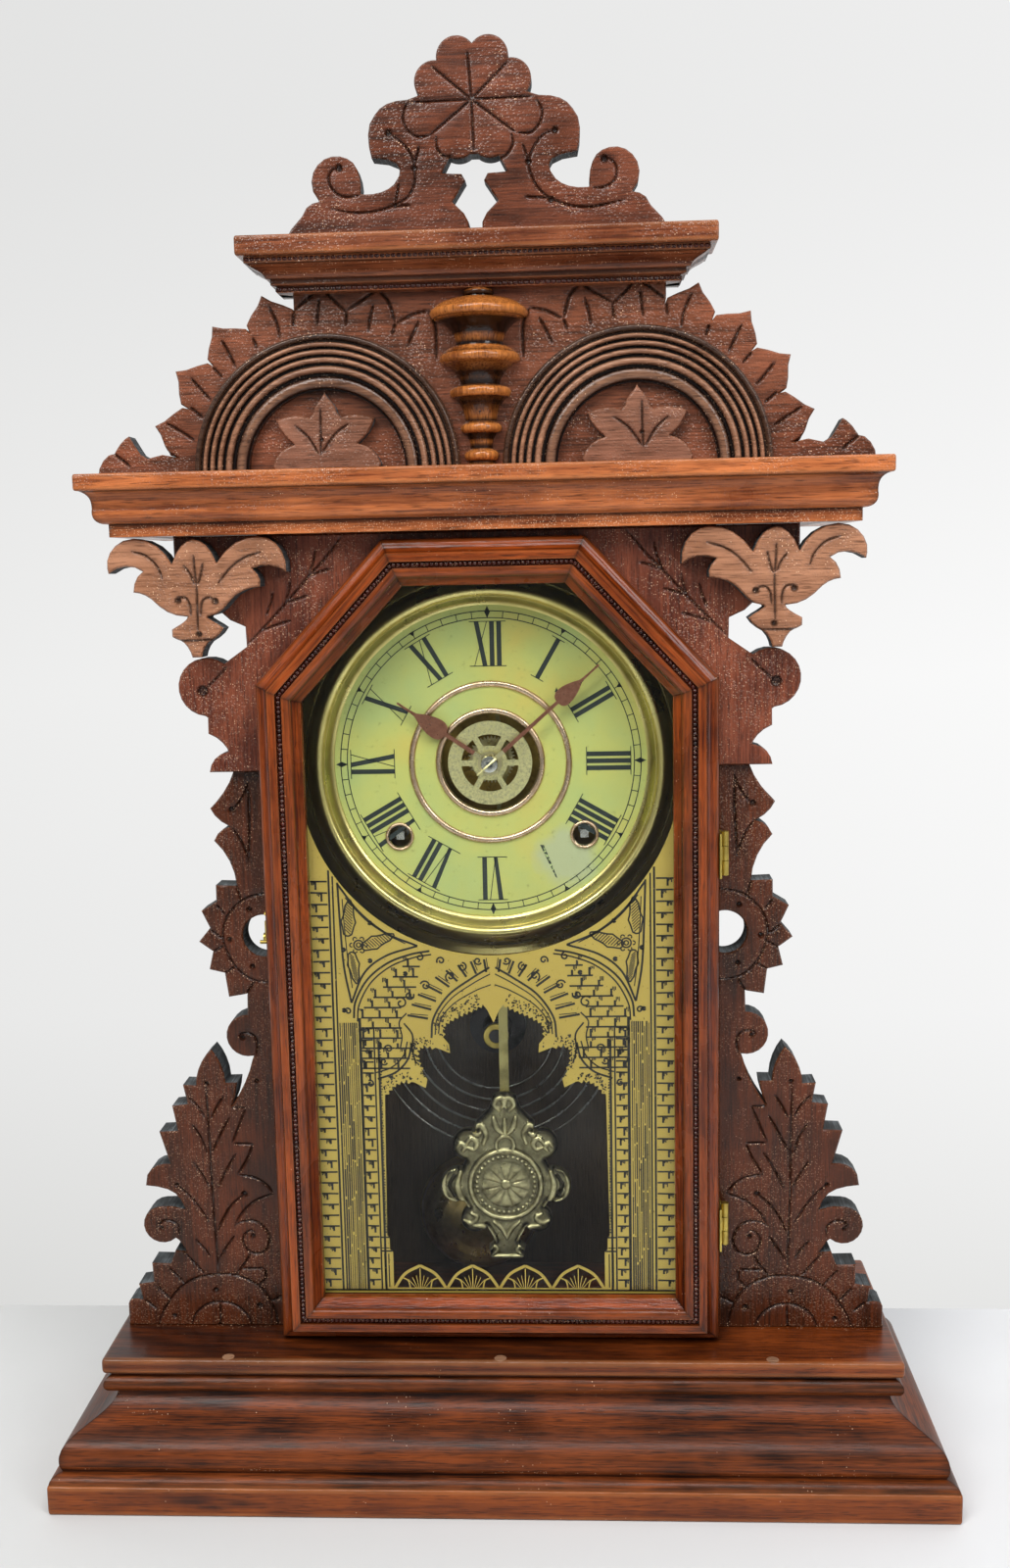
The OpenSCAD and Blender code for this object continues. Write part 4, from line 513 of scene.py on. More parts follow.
# distance to a stroke and the share of its length there
def alongStroke(points, x, z):
    p = curveThrough(points, 6) if len(points) > 2 else np.asarray(points, float)
    length = runAlong(p)
    best = np.full(len(x), 1e9)
    share = np.zeros(len(x))
    for i in range(len(p) - 1):
        d = p[i + 1] - p[i]
        t = np.clip(((x - p[i, 0])*d[0] + (z - p[i, 1])*d[1])/max(d @ d, 1e-12), 0, 1)
        near = np.hypot(x - p[i, 0] - t*d[0], z - p[i, 1] - t*d[1])
        closer = near < best
        best[closer] = near[closer]
        share[closer] = ((length[i] + t*(length[i + 1] - length[i]))/length[-1])[closer]
    return best, share


# how deep a parting tool has cut, in millimetres: a V along each stroke that thins out at its tips, and punch holes
def carve(strokes, punches, x, z, width=1.0, depth=1.1, soft=0.25):
    cut, grimeAndShade, sparkle = np.zeros(len(x)), np.zeros(len(x)), np.zeros(len(x))
    for points in strokes:
        p = np.asarray(points, float)
        close = (x > p[:, 0].min() - 5) & (x < p[:, 0].max() + 5) & (z > p[:, 1].min() - 5) & (z < p[:, 1].max() + 5)
        if not close.any():
            continue
        near, share = alongStroke(points, x[close], z[close])
        below, _ = alongStroke(points, x[close], z[close] + 0.5)
        taper = np.clip(np.minimum(share, 1 - share)*6, 0, 1)**0.5*0.65 + 0.35
        w = width*taper
        groove = np.maximum(0, 1 - near/w)**0.85*depth*taper
        pillow = np.exp(-(near/(3.2*width))**2)*soft*taper
        cut[close] = np.maximum(cut[close], groove + pillow)
        # dirt with painted shade in and beside each cut
        grimeAndShade[close] = np.maximum(grimeAndShade[close], np.exp(-(near/(0.7*w))**2)*0.72 + np.exp(-(near/(2.8*width))**2)*0.2)
        # painted glints on the flank that faces up, where light from above would catch them
        flank = np.exp(-((near - 0.9*w)/0.3)**2)*np.clip((near - below)*3, 0, 1)*0.8
        sparkle[close] = np.maximum(sparkle[close], flank)
    # punch holes are painted dark: dirt with painted shade
    for px, pz, radius in punches:
        near = np.hypot(x - px, z - pz)
        cut = np.maximum(cut, np.clip((radius + 0.35 - near)/0.7, 0, 1)*1.6)
        grimeAndShade = np.maximum(grimeAndShade, np.clip((radius + 0.6 - near)/0.8, 0, 1)*0.85)
    return cut, np.clip(grimeAndShade, 0, 1), sparkle


# a fretted board: the CAD outline filled with a fine net of triangles whose front is lowered by the carving,
# with a worn round along its edge, straight sawn sides and a flat back
def carvedBoard(name, nodeName, strokes=(), punches=(), material=None, slot="walnut_carved", body="case", step=0.5,
                edge=0.7, width=0.62, depth=0.95, soft=0.22, relief=None, only=None, outline=None, sides=None,
                dusty=None):
    loops, front, back = outline or boardOutlines(nodeName)
    if only is not None:
        loops = [loop for loop in loops if only(loop.mean(axis=0))]
    rim = [evenLoop(loop, step*1.3) for loop in loops]
    field = outlineField(rim)
    every = np.concatenate(rim)
    lo, hi = every.min(axis=0), every.max(axis=0)
    gridX, gridZ = np.meshgrid(np.arange(lo[0], hi[0], step), np.arange(lo[1], hi[1], step*0.87))
    gridX = gridX + (np.arange(len(gridX)) % 2)[:, None]*step/2
    gx, gz = gridX.ravel(), gridZ.ravel()
    keep = readField(field, gx, gz) > step*0.6
    flat, triangles, onRim = fillOutlines(rim, np.column_stack([gx[keep], gz[keep]]))
    x, z = flat[:, 0], flat[:, 1]
    inner = np.where(onRim, 0, np.maximum(readField(field, x, z), 0))
    cut, grimeAndShade, sparkle = carve(strokes, punches, x, z, width, depth, soft)
    fall = np.where(inner < edge, edge - np.sqrt(np.maximum(edge**2 - (edge - inner)**2, 0)), 0)
    if relief:
        # the relief also returns painted shade for its low places
        raised, reliefShade = relief(x, z, inner)
        cut, grimeAndShade = cut - raised, np.maximum(grimeAndShade, reliefShade)
    cut = np.where(onRim, np.minimum(cut, 1.2), cut)
    y = front + np.minimum(cut + fall, back - front - 1.0)
    lone = loneEdges(triangles, len(flat))
    rimIndex = np.unique(lone)
    backOf = np.full(len(flat), -1)
    backOf[rimIndex] = len(flat) + np.arange(len(rimIndex))
    points = np.concatenate([np.column_stack([x, y, z]),
                             np.column_stack([x[rimIndex], np.full(len(rimIndex), back), z[rimIndex]])])
    walls = np.column_stack([lone[:, 1], lone[:, 0], backOf[lone[:, 0]], backOf[lone[:, 1]]])
    backFlat, backTriangles, _ = fillOutlines(rim)
    near = [int(np.argmin((flat[rimIndex, 0] - p[0])**2 + (flat[rimIndex, 1] - p[1])**2)) for p in backFlat]
    backTriangles = backOf[rimIndex[np.array(near)[backTriangles]]][:, ::-1]
    wearAndHighlight = np.concatenate([np.clip(1 - inner/1.2, 0, 1)*0.12, np.zeros(len(rimIndex))])
    grimeAndShade = np.concatenate([grimeAndShade, np.zeros(len(rimIndex))])
    # a strip of painted glint points along the foot of the board
    if dusty is not None:
        sparkle = np.maximum(sparkle, np.exp(-((z - dusty)/0.9)**2))
    sparkle = np.concatenate([sparkle, np.zeros(len(rimIndex))])
    which = np.concatenate([np.zeros(len(triangles) + len(backTriangles)), np.ones(len(walls))])
    return buildPiece(name, points, [triangles, backTriangles, walls],
                      [material or woods["carvedWalnut"], sides or sawnEdge], body, slot, [nodeName],
                      marks={"grimeAndShade": grimeAndShade, "wearAndHighlight": wearAndHighlight, "sparkle": sparkle}, faceMaterial=which)


def mirrored(strokes):
    return [[(-x, z) for x, z in stroke] for stroke in strokes]


# a right board as it is given, and a left one with its carving mirrored; pick: each half of one node by its side
def carvedPair(name, nodeName, strokes, punches, pick=False, **rest):
    for side, label in ((1, "Right"), (-1, "Left")):
        if pick:
            rest["only"] = lambda middle, s=side: middle[0]*s > 0
        carvedBoard(name + label, nodeName if pick else nodeName + "_" + label.lower(),
                    strokes if side > 0 else mirrored(strokes), [(side*x, z, r) for x, z, r in punches], **rest)


# ---- carved wings

wing = dict(
    strokes=[
        [(124.8, 168.9), (124.9, 161.4), (124.7, 145.6), (124.6, 126.0), (124.2, 108.1), (123.6, 82.8)],
        [(117.7, 163.2), (120.7, 158.4), (123.4, 153.1)], [(115.3, 154.0), (119.9, 145.6), (123.6, 138.0)],
        [(113.2, 137.6), (117.5, 130.5), (121.7, 122.0)],
        [(110.4, 118.9), (115.9, 114.4), (120.1, 108.1), (122.9, 102.2)],
        [(115.5, 100.0), (119.4, 94.6), (122.8, 89.1)], [(108.7, 91.8), (111.7, 87.3), (115.6, 81.8)],
        [(132.8, 162.7), (129.1, 158.8), (126.2, 153.9)], [(131.6, 150.4), (128.3, 144.7), (125.9, 137.6)],
        [(132.2, 133.6), (128.5, 127.8), (125.5, 122.0)],
        [(139.9, 123.3), (134.4, 118.0), (130.3, 112.6), (126.5, 106.3)],
        [(132.9, 98.2), (129.1, 93.7), (126.6, 90.0)],
        [(114.0, 158.2), (108.1, 158.0)], [(108.1, 158.0), (114.5, 142.5)], [(114.1, 142.0), (105.6, 141.7)],
        [(105.6, 141.7), (108.6, 134.9), (112.9, 128.0)],
        [(112.9, 127.8), (105.7, 126.5), (100.6, 123.3), (97.6, 119.6)],
        [(97.6, 119.3), (105.7, 116.0), (111.7, 110.6), (115.1, 104.9)],
        [(115.2, 104.7), (111.7, 106.5), (106.6, 106.7), (102.5, 104.0), (100.2, 99.1), (101.5, 94.1), (105.3, 91.8),
         (109.6, 92.9), (111.9, 96.8), (111.3, 100.4), (108.3, 102.5), (106.2, 101.3)],
        [(103.1, 85.0), (112.6, 84.7)], [(102.5, 84.5), (102.5, 80.4)], [(102.2, 80.4), (105.6, 77.3)],
        [(95.1, 72.5), (100.9, 69.6)],
        [(97.7, 58.0), (99.8, 67.2), (105.0, 75.9), (114.3, 81.2), (122.8, 82.1), (133.1, 80.4), (141.6, 75.1),
         (148.5, 65.5), (151.4, 58.2)],
        [(109.7, 58.0), (111.8, 63.5), (117.0, 68.0), (122.9, 69.3), (128.9, 68.2), (134.1, 64.1), (136.7, 58.2)],
        [(123.4, 68.2), (123.8, 59.0)], [(138.9, 93.2), (129.7, 82.3)], [(144.9, 84.7), (139.0, 78.1)],
        [(151.0, 76.5), (145.8, 70.8)], [(156.6, 70.1), (151.8, 65.9)],
        [(140.1, 100.5), (140.1, 104.1), (142.6, 106.5), (146.4, 106.9), (148.6, 105.0), (147.2, 103.6)],
        [(100.5, 300.1), (101.8, 295.8), (104.7, 291.1), (108.1, 287.6)],
        [(100.5, 297.9), (100.8, 282.5), (101.8, 266.1)],
        [(108.6, 280.5), (104.8, 274.7), (101.8, 267.0)], [(107.6, 255.7), (106.1, 249.4)],
        [(116.5, 247.3), (113.1, 243.0)],
        [(119.9, 236.8), (114.8, 232.7)], [(119.0, 226.9), (114.3, 229.6)], [(114.3, 217.5), (110.0, 220.4)],
        [(105.4, 208.3), (101.8, 214.1)],
        [(94.0, 252.4), (102.7, 250.5), (108.7, 246.5), (112.9, 240.8), (114.5, 232.9), (112.2, 225.0), (107.9, 218.4),
         (101.9, 214.5), (94.0, 213.5)],
        [(102.4, 181.5), (101.6, 186.4), (103.0, 190.0), (106.3, 191.3), (109.3, 190.4), (108.4, 188.8)],
    ],
    punches=[(125.0, 74.8, 1.1), (105.8, 67.7, 1.2), (143.9, 62.8, 0.9), (123.9, 58.9, 0.7), (107.4, 100.0, 0.9),
             (110.4, 119.2, 1.1), (139.9, 123.3, 0.8), (124.6, 168.9, 0.9), (147.4, 103.4, 0.7), (102.6, 245.3, 0.9),
             (111.7, 232.2, 0.9), (102.2, 220.5, 0.9), (108.2, 287.8, 1.2), (108.0, 189.2, 0.9), (102.7, 170.2, 0.7)])
carvedPair("wing", "wing", wing["strokes"], wing["punches"], dusty=59.0)
print("wings carved")

# ---- front board with its incised twigs

twig = dict(
    strokes=[
        [(97.3, 356.7), (91.2, 362.6), (86.1, 367.8), (81.1, 372.9), (71.0, 383.9), (65.3, 389.7), (57.4, 399.2)],
        [(78.9, 366.1), (84.7, 364.5), (91.5, 362.1)], [(71.7, 376.0), (76.4, 374.6), (80.7, 373.3)],
        [(62.0, 386.6), (66.7, 385.4), (71.0, 383.7)], [(78.9, 381.6), (79.7, 377.6), (81.2, 372.9)],
        [(68.2, 394.3), (69.2, 389.3), (71.7, 383.5)], [(86.1, 377.8), (87.2, 373.5), (89.2, 368.3)],
        [(106.4, 347.7), (111.5, 342.6), (115.7, 338.8)]],
    punches=[(116.9, 338.0, 2.1)])
carvedBoard("frontBoard", "front_board", twig["strokes"] + mirrored(twig["strokes"]),
            twig["punches"] + [(-x, z, r) for x, z, r in twig["punches"]], material=woods["boardWalnut"], step=0.6)
print("front board carved")

# ---- brackets under the cornice

bracket = dict(
    strokes=[
        [(114.6, 380.9), (114.8, 371.7), (115.0, 362.9)], [(111.7, 389.7), (112.8, 385.1), (114.1, 381.4)],
        [(115.3, 392.8), (115.2, 387.9), (114.8, 381.4)], [(119.5, 388.8), (117.0, 385.4), (115.6, 381.9)],
        [(88.1, 393.7), (95.2, 391.4), (100.8, 387.5), (105.8, 381.7)],
        [(128.3, 384.1), (130.3, 388.9), (134.5, 393.0), (140.1, 394.9)],
        [(113.6, 368.9), (112.9, 373.9), (111.1, 375.9), (109.0, 375.9), (107.4, 374.5)],
        [(117.5, 369.0), (117.7, 373.1), (119.2, 376.0), (122.4, 376.3), (122.4, 375.1)],
        [(105.3, 359.2), (125.5, 359.0)]],
    punches=[(114.6, 361.5, 1.1), (107.4, 374.5, 1.2), (122.4, 375.1, 1.2)])
carvedPair("bracket", "bracket", bracket["strokes"], bracket["punches"], material=woods["bracketWalnut"],
           slot="walnut_light", edge=1.0)
print("brackets carved")

# ---- pediment board with its sunbursts, and the applied leaves

burst = dict(
    strokes=[
        [(40.1, 495.6), (35.7, 490.3), (33.4, 482.2)], [(40.1, 495.4), (46.5, 491.1), (52.3, 487.6)],
        [(41.7, 489.6), (43.2, 484.6), (44.1, 479.1)], [(62.2, 497.1), (58.3, 492.3), (52.3, 486.5)],
        [(62.2, 497.1), (67.8, 492.6), (73.4, 488.1)], [(63.3, 492.2), (64.0, 487.3), (64.6, 481.8)],
        [(19.9, 486.6), (26.6, 485.1), (32.6, 482.2)], [(23.8, 482.5), (26.5, 477.5), (28.7, 473.0)],
        [(19.9, 486.4), (17.2, 479.9), (17.3, 467.8)], [(33.4, 481.6), (34.7, 477.8)], [(52.6, 486.3), (53.1, 481.6)],
        [(73.7, 487.0), (74.1, 482.1)], [(83.5, 490.0), (80.6, 483.5), (79.5, 477.6)],
        [(103.0, 477.5), (100.2, 472.1), (97.8, 466.9)], [(115.9, 462.9), (111.5, 457.6), (108.7, 454.6)],
        [(126.7, 445.6), (120.5, 441.9), (115.8, 438.7)], [(90.4, 478.0), (89.0, 474.0)],
        [(107.0, 467.0), (103.4, 463.0)],
        [(116.9, 451.7), (112.1, 447.6)], [(127.9, 434.8), (124.0, 432.4)],
        [(150.0, 434.7), (145.3, 431.3), (142.6, 428.9)]])

# inside the arches the board is painted darker: painted shade under the arches
def archInsideShade(x, z, inner):
    reach = np.minimum(np.hypot(x - 61.8, z - 425), np.hypot(x + 61.8, z - 425))
    return 0*x, np.where(reach < 33, 0.06, 0)


carvedBoard("pedimentBoard", "pediment_board", burst["strokes"] + mirrored(burst["strokes"]),
            material=woods["pedimentWalnut"],
            step=0.55, relief=archInsideShade, width=0.8, depth=1.2)

leaf = dict(strokes=[[(63.6, 449.5), (63.8, 438.5), (64.1, 431.3)], [(52.6, 443.2), (58.2, 439.2), (63.8, 431.8)],
                     [(74.0, 443.0), (68.9, 438.4), (64.9, 431.8)]], punches=[(63.6, 437.2, 0.8)])
carvedPair("pedimentLeaf", "pediment_leaves", leaf["strokes"], leaf["punches"], pick=True, step=0.45, edge=0.9,
           material=woods["leafWalnut"])

# ---- crest

crest = dict(
    centre=(-0.6, 562.4), rimPoints=[(-1.8, 579.7), (13.7, 575.7), (22.5, 562.8), (15.9, 550.0), (-0.1, 543.6),
                                     (-17.0, 549.8), (-22.5, 562.1), (-15.6, 574.9)],
    strokes=[
        [(24.0, 561.8), (26.3, 557.6), (25.3, 553.0), (21.8, 549.7), (16.9, 549.7)],
        [(14.4, 549.6), (14.9, 545.9), (12.3, 541.8), (7.9, 540.1)],
        [(-25.5, 561.7), (-27.1, 556.6), (-25.3, 551.9), (-21.4, 549.5), (-17.0, 549.8)],
        [(-14.5, 549.2), (-14.1, 545.0), (-11.7, 542.1), (-7.8, 542.0)],
        [(-32.7, 551.2), (-27.4, 547.3), (-24.1, 542.5), (-23.2, 537.8), (-23.4, 532.2), (-26.0, 527.6), (-31.0, 524.9),
         (-38.0, 522.8), (-47.0, 522.4), (-55.9, 524.0)],
        [(-21.0, 546.2), (-23.2, 538.8)], [(-29.3, 532.4), (-31.0, 524.9)], [(-25.1, 524.5), (-31.0, 524.4)],
        [(-44.8, 528.7), (-50.8, 528.4), (-55.2, 531.4), (-56.5, 535.6), (-54.9, 538.4), (-52.4, 539.0)],
        [(31.1, 550.2), (26.7, 548.7), (23.2, 544.7), (20.8, 539.2), (22.0, 533.5), (24.9, 528.7), (29.2, 525.3),
         (36.0, 522.6), (44.9, 521.7), (57.6, 523.9)],
        [(18.8, 545.3), (20.8, 539.6)], [(18.9, 526.3), (28.2, 525.6)],
        [(45.4, 528.8), (49.8, 528.9), (53.8, 531.5), (54.3, 536.2), (51.9, 539.1), (49.9, 539.1)]],
    punches=[(-32.7, 551.2, 1.2), (-23.2, 538.0, 1.0), (-52.4, 539.0, 1.3), (31.1, 550.2, 1.1), (20.8, 539.0, 1.0),
             (29.2, 524.8, 1.1), (49.9, 539.1, 1.3), (-31.0, 524.6, 0.9)])
carvedBoard("crest", "crest", crest["strokes"] + [[end, crest["centre"]] for end in crest["rimPoints"]],
            crest["punches"],
            material=woods["crestWalnut"])
print("pediment and crest carved")

# ---- turned, spun and moulded lengths


# points on a cubic curve, and on an arc from one angle to another in degrees
def bezier(a, b, c, d, count=9):
    t = np.linspace(0, 1, count)[:, None]
    a, b, c, d = (np.array(p, float) for p in (a, b, c, d))
    return (1 - t)**3*a + 3*(1 - t)**2*t*b + 3*(1 - t)*t**2*c + t**3*d


def arc(centre, radius, start, end, count=12):
    t = np.radians(np.linspace(start, end, count))
    return np.column_stack([centre[0] + radius*np.cos(t), centre[1] + radius*np.sin(t)])


def joinLine(*parts):
    line = np.concatenate([np.atleast_2d(np.array(part, float)) for part in parts])
    keep = np.concatenate([[True], np.linalg.norm(np.diff(line, axis=0), axis=1) > 1e-4])
    return line[keep]


# how hollow a closed profile is at each point: the distance to the same line smoothed over sigma millimetres,
# positive in hollows and negative on ridges
def hollowness(loop, sigma=1.5, scale=0.7):
    ahead = np.roll(loop, -1, axis=0)
    step = np.linalg.norm(ahead - loop, axis=1)
    place = np.concatenate([[0], np.cumsum(step)[:-1]])
    gap = np.abs(place[:, None] - place)
    gap = np.minimum(gap, step.sum() - gap)
    weight = np.exp(-(gap/sigma)**2)*((step + np.roll(step, 1))/2)
    smooth = weight @ loop/weight.sum(axis=1)[:, None]
    along = ahead - np.roll(loop, 1, axis=0)
    normal = np.column_stack([along[:, 1], -along[:, 0]])/np.maximum(np.linalg.norm(along, axis=1), 1e-9)[:, None]
    area = (loop[:, 0]*ahead[:, 1] - ahead[:, 0]*loop[:, 1]).sum()
    return ((smooth - loop)*normal).sum(axis=1)*np.sign(area)/scale


# a closed solid from a grid of points: section after section, each a closed line; ring joins the last to the first
def gridSolid(grid, ring=False):
    rows, columns = grid.shape[:2]
    index = np.arange(rows*columns).reshape(rows, columns)
    following = np.roll(index, -1, axis=0) if ring else index[1:]
    start = index if ring else index[:-1]
    quads = np.stack([start, np.roll(start, -1, axis=1), np.roll(following, -1, axis=1), following],
                     axis=-1).reshape(-1, 4)
    faces = [quads] if ring else [quads, index[:1, ::-1], index[-1:]]
    points = grid.reshape(-1, 3)
    a, b, c, d = (points[quads[:, k]] for k in range(4))
    volume = np.einsum("ij,ij->i", a, np.cross(b, c) + np.cross(c, d)).sum()
    if not ring:
        for cap in faces[1:]:
            p = points[cap[0]]
            volume += np.einsum("ij,ij->i", np.tile(p[0], (len(p) - 2, 1)), np.cross(p[1:-1], p[2:])).sum()
    if volume < 0:
        faces = [f[:, ::-1] for f in faces]
    return points, faces


# several solids as one mesh: their faces sorted by number of corners
def joinSolids(solids):
    points, sets, offset = [], {}, 0
    for p, faces in solids:
        for f in faces:
            sets.setdefault(f.shape[1], []).append(f + offset)
        points.append(p)
        offset += len(p)
    return np.concatenate(points), [np.concatenate(f) for f in sets.values()]


# one piece from several solids
def buildSolids(name, solids, *rest, **more):
    points, faces = joinSolids(solids)
    return buildPiece(name, points, faces, *rest, **more)


# a profile of radius and height carried round an axis that points forward, through the given angles
def carriedRound(profile, centre, turn):
    radius, height = np.asarray(profile, float).T
    x, y, z = centre
    return np.stack([x + radius*np.cos(turn), y - height + 0*turn, z + radius*np.sin(turn)], axis=-1)


# whole turns as a column of angles
def fullTurn(count):
    return np.linspace(0, 2*math.pi, count + 1)[:-1, None]


# a mitred run of moulding: corners holds the profile at each corner, and every length between two corners is its own
# solid with a hairline joint; stations crowd towards the joints, where dirt gathers
def mitredLengths(name, corners, profile, material, body, slot, covers, ring=False, joint=0.04, seed=0.0,
                  lines=(), shine=()):
    corners = np.asarray(corners, float)
    hollow = hollowness(profile)
    run = runAlong(profile)
    # extra dark lines of dirt and painted shade, and strips of painted glints: place on the profile, width and strength
    dark, spark = (np.max([strength*np.exp(-((profile[:, 0] - px)**2 + (profile[:, 1] - pz)**2)/wide**2)
                           for px, pz, wide, strength in (*places, (0, 0, 0.01, 0))], axis=0)
                   for places in (lines, shine))
    solids, grain, grimeAndShade, wearAndHighlight, sparkle = [], [], [], [], []
    count = len(corners) if ring else len(corners) - 1
    for k in range(count):
        a, b = corners[k], corners[(k + 1) % len(corners)]
        length = np.linalg.norm(b.mean(axis=0) - a.mean(axis=0))
        near = np.array([joint, 0.5, 1.2, 3, 7])/length
        t = np.concatenate([near, np.linspace(12/length, 1 - 12/length, max(3, int(length/14))), 1 - near[::-1]])
        grid = a + (b - a)*t[:, None, None]
        solids.append(gridSolid(grid))
        u = t[:, None]*length + 0*run
        v = run + 0*t[:, None] + 400*k + seed
        grain.append(np.stack([u + 91*k, v], axis=-1).reshape(-1, 2)*0.001)
        corner = np.exp(-np.minimum(t, 1 - t)*length/1.3)*(0.75 if count > 1 else 0)
        # hollows of the profile painted darker: dirt with painted shade
        shadeAndDirt = np.maximum(np.clip(hollow, 0, 1)*0.85, dark)
        grimeAndShade.append(np.clip(np.maximum(shadeAndDirt, corner[:, None]), 0, 1).ravel())
        sparkle.append((spark + 0*t[:, None]).ravel())
        # ridges of the profile painted paler: wear with painted highlight
        wearAndHighlight.append((np.clip(-hollow, 0, 1)*0.6 + 0*t[:, None]).ravel())
    marks = {"grimeAndShade": np.concatenate(grimeAndShade), "wearAndHighlight": np.concatenate(wearAndHighlight), "sparkle": np.concatenate(sparkle)}
    return buildSolids(name, solids, material, body, slot, covers, grain=np.concatenate(grain), marks=marks)


# three lengths round the front and sides of a board, from back left to back right: profile is inwards and up
def boardCorners(profile, halfWidth, front, back, bottom):
    x, z = profile[:, 0], bottom + profile[:, 1]
    places = [(-halfWidth + x, back + 0*x), (-halfWidth + x, front + x), (halfWidth - x, front + x),
              (halfWidth - x, back + 0*x)]
    return [np.column_stack([px, py, z]) for px, py in places]


ogee = dict(halfWidth=187.5, front=-59.5, back=59.5, bottom=12.85)
ogeeProfile = evenLoop(joinLine(
    bezier((0.8, 0), (0.8, 2), (2.5, 3.6), (5.4, 3.8)), bezier((5.4, 4.2), (4.2, 6), (3.6, 11), (6.4, 14.6), 14),
    bezier((6.4, 14.6), (11, 20.5), (24, 21.4), (25, 30.2), 22), arc((23.8, 34), 3.8, -100, -260, 16), (22.8, 37.8),
    (22.8, 39.35),
    (34, 39.35), (34, 0)), 1.2)
mitredLengths("ogeeMoulding", boardCorners(ogeeProfile, **ogee), ogeeProfile, woods["ogeeWalnut"], "case",
              "walnut_moulding",
              ["base_moulding"], lines=((5.2, 4.1, 0.6, 0.9), (22.6, 38.4, 0.6, 0.3), (9, 17, 5, 0.35)),
              shine=((4.4, 5.4, 0.8, 0.7), (23.2, 36.6, 0.7, 0.4)))

cornice = dict(halfWidth=158.5, front=-37.1, back=59.5, bottom=400.6)
corniceProfile = evenLoop(joinLine(
    (10.5, 0), (10.5, 5), bezier((8.6, 5.2), (5.6, 6), (5.2, 8.6), (5.6, 11)),
    bezier((5.6, 11), (5.6, 14.6), (5, 16.5), (1.8, 17.85)),
    (23.5, 17.85), (23.5, 0)), 0.8)
mitredLengths("corniceMoulding", boardCorners(corniceProfile, **cornice), corniceProfile, woods["corniceWalnut"],
              "case",
              "walnut_moulding", ["cornice_moulding"], seed=37,
              lines=((10.4, 5.1, 0.8, 1.0), (1.9, 17.8, 0.9, 0.9), (5.5, 11.4, 1.0, 0.3)),
              shine=((10.5, 2.4, 2.6, 0.85), (8.2, 5.6, 0.8, 0.5)))

topCornice = dict(halfWidth=92.6, front=-29.5, back=-0.5, bottom=494)
topProfile = evenLoop(joinLine(
    (13.6, 0), (13.6, 2.2), (11.6, 2.6), (11.6, 4.6), bezier((10, 4.8), (9.4, 7.4), (5.6, 7.8), (3.8, 9.4)), (3, 9.6),
    (3, 11.95),
    (18.9, 11.95), (18.9, 0)), 0.7)
mitredLengths("topCorniceMoulding", boardCorners(topProfile, **topCornice), topProfile, woods["topWalnut"], "case",
              "walnut_moulding", ["top_cornice_moulding"], seed=71, lines=((11.6, 3.6, 1.0, 0.9), (3.4, 9.5, 0.8, 0.9)),
              shine=((8.4, 6.4, 1.6, 0.6), (4.6, 8.8, 0.8, 0.7)))

door = dict(halfWidth=93.5, bottom=59.9, top=397.6, flat=40.5, slope=57/53, back=-13.4)


# the door's octagon drawn in by an inset: six corners, from bottom right round to bottom left
def doorOctagon(inset):
    half, low, high = door["halfWidth"] - inset, door["bottom"] + inset, door["top"] - inset
    flat = door["flat"] - inset*(math.sqrt(1 + door["slope"]**2) - 1)/door["slope"]
    shoulder = high - (half - flat)*door["slope"]
    return [(half, low), (half, shoulder), (flat, high), (-flat, high), (-half, shoulder), (-half, low)]


def doorCorners(profile):
    rings = [doorOctagon(x) for x in profile[:, 0]]
    return [np.array([(ring[k][0], door["back"] - forward, ring[k][1]) for ring, forward in zip(rings, profile[:, 1])])
            for k in range(6)]


doorProfile = evenLoop(joinLine(
    (0, 0), (0, 5), bezier((0, 5), (-0.1, 7.4), (0.6, 9.2), (2.2, 9.6)),
    bezier((2.2, 9.6), (4.6, 10), (5.2, 12), (5.8, 14.5)),
    (9, 14.5), (9, 12.7), (11.4, 12.7), (11.6, 14.1), bezier((11.6, 14.1), (13.6, 14.5), (15, 13.9), (15.2, 12.7)),
    (18.5, 8.6),
    (18.5, 5), (15.5, 5), (15.5, 0)), 0.6)
mitredLengths("doorFrame", doorCorners(doorProfile), doorProfile, woods["doorWalnut"], "door", "walnut_door",
              ["door_frame"],
              ring=True, seed=13, lines=((15.3, 12.2, 0.5, 0.95), (5.2, 12.2, 0.8, 0.7), (0.2, 7.0, 2.4, 0.45),
                                         (10.2, 12.7, 1.6, 1.0)),
              shine=((18.3, 8.6, 0.5, 0.5), (11.4, 13.6, 0.5, 0.4)))


# a strip of small pressed beads along a groove: a half round whose height swells once every pitch
def rippleStrip(name, path, closed, outward, pitch, width, height, material, body, slot):
    path = [np.array(p, float) for p in path] + ([np.array(path[0], float)] if closed else [])
    solids = []
    for a, b in zip(path[:-1], path[1:]):
        length = np.linalg.norm(b - a)
        along = (b - a)/length
        out = np.array(outward(a, b), float)
        across = np.cross(along, out)
        count = max(2, int(round(length/pitch)))
        t = np.linspace(0, 1, count*5 + 1)[:, None]
        swell = 0.3 + 0.7*np.abs(np.sin(math.pi*count*t))**0.7
        angle = np.linspace(0, math.pi, 6)
        side = np.cos(angle)*width/2*(0.55 + 0.45*swell)
        rise = np.sin(angle)*height*swell
        grid = (a + (b - a)*t)[:, None, :] + side[..., None]*across + rise[..., None]*out
        solids.append(gridSolid(grid))
    return buildSolids(name, solids, material, body, slot, sharpAngle=50)


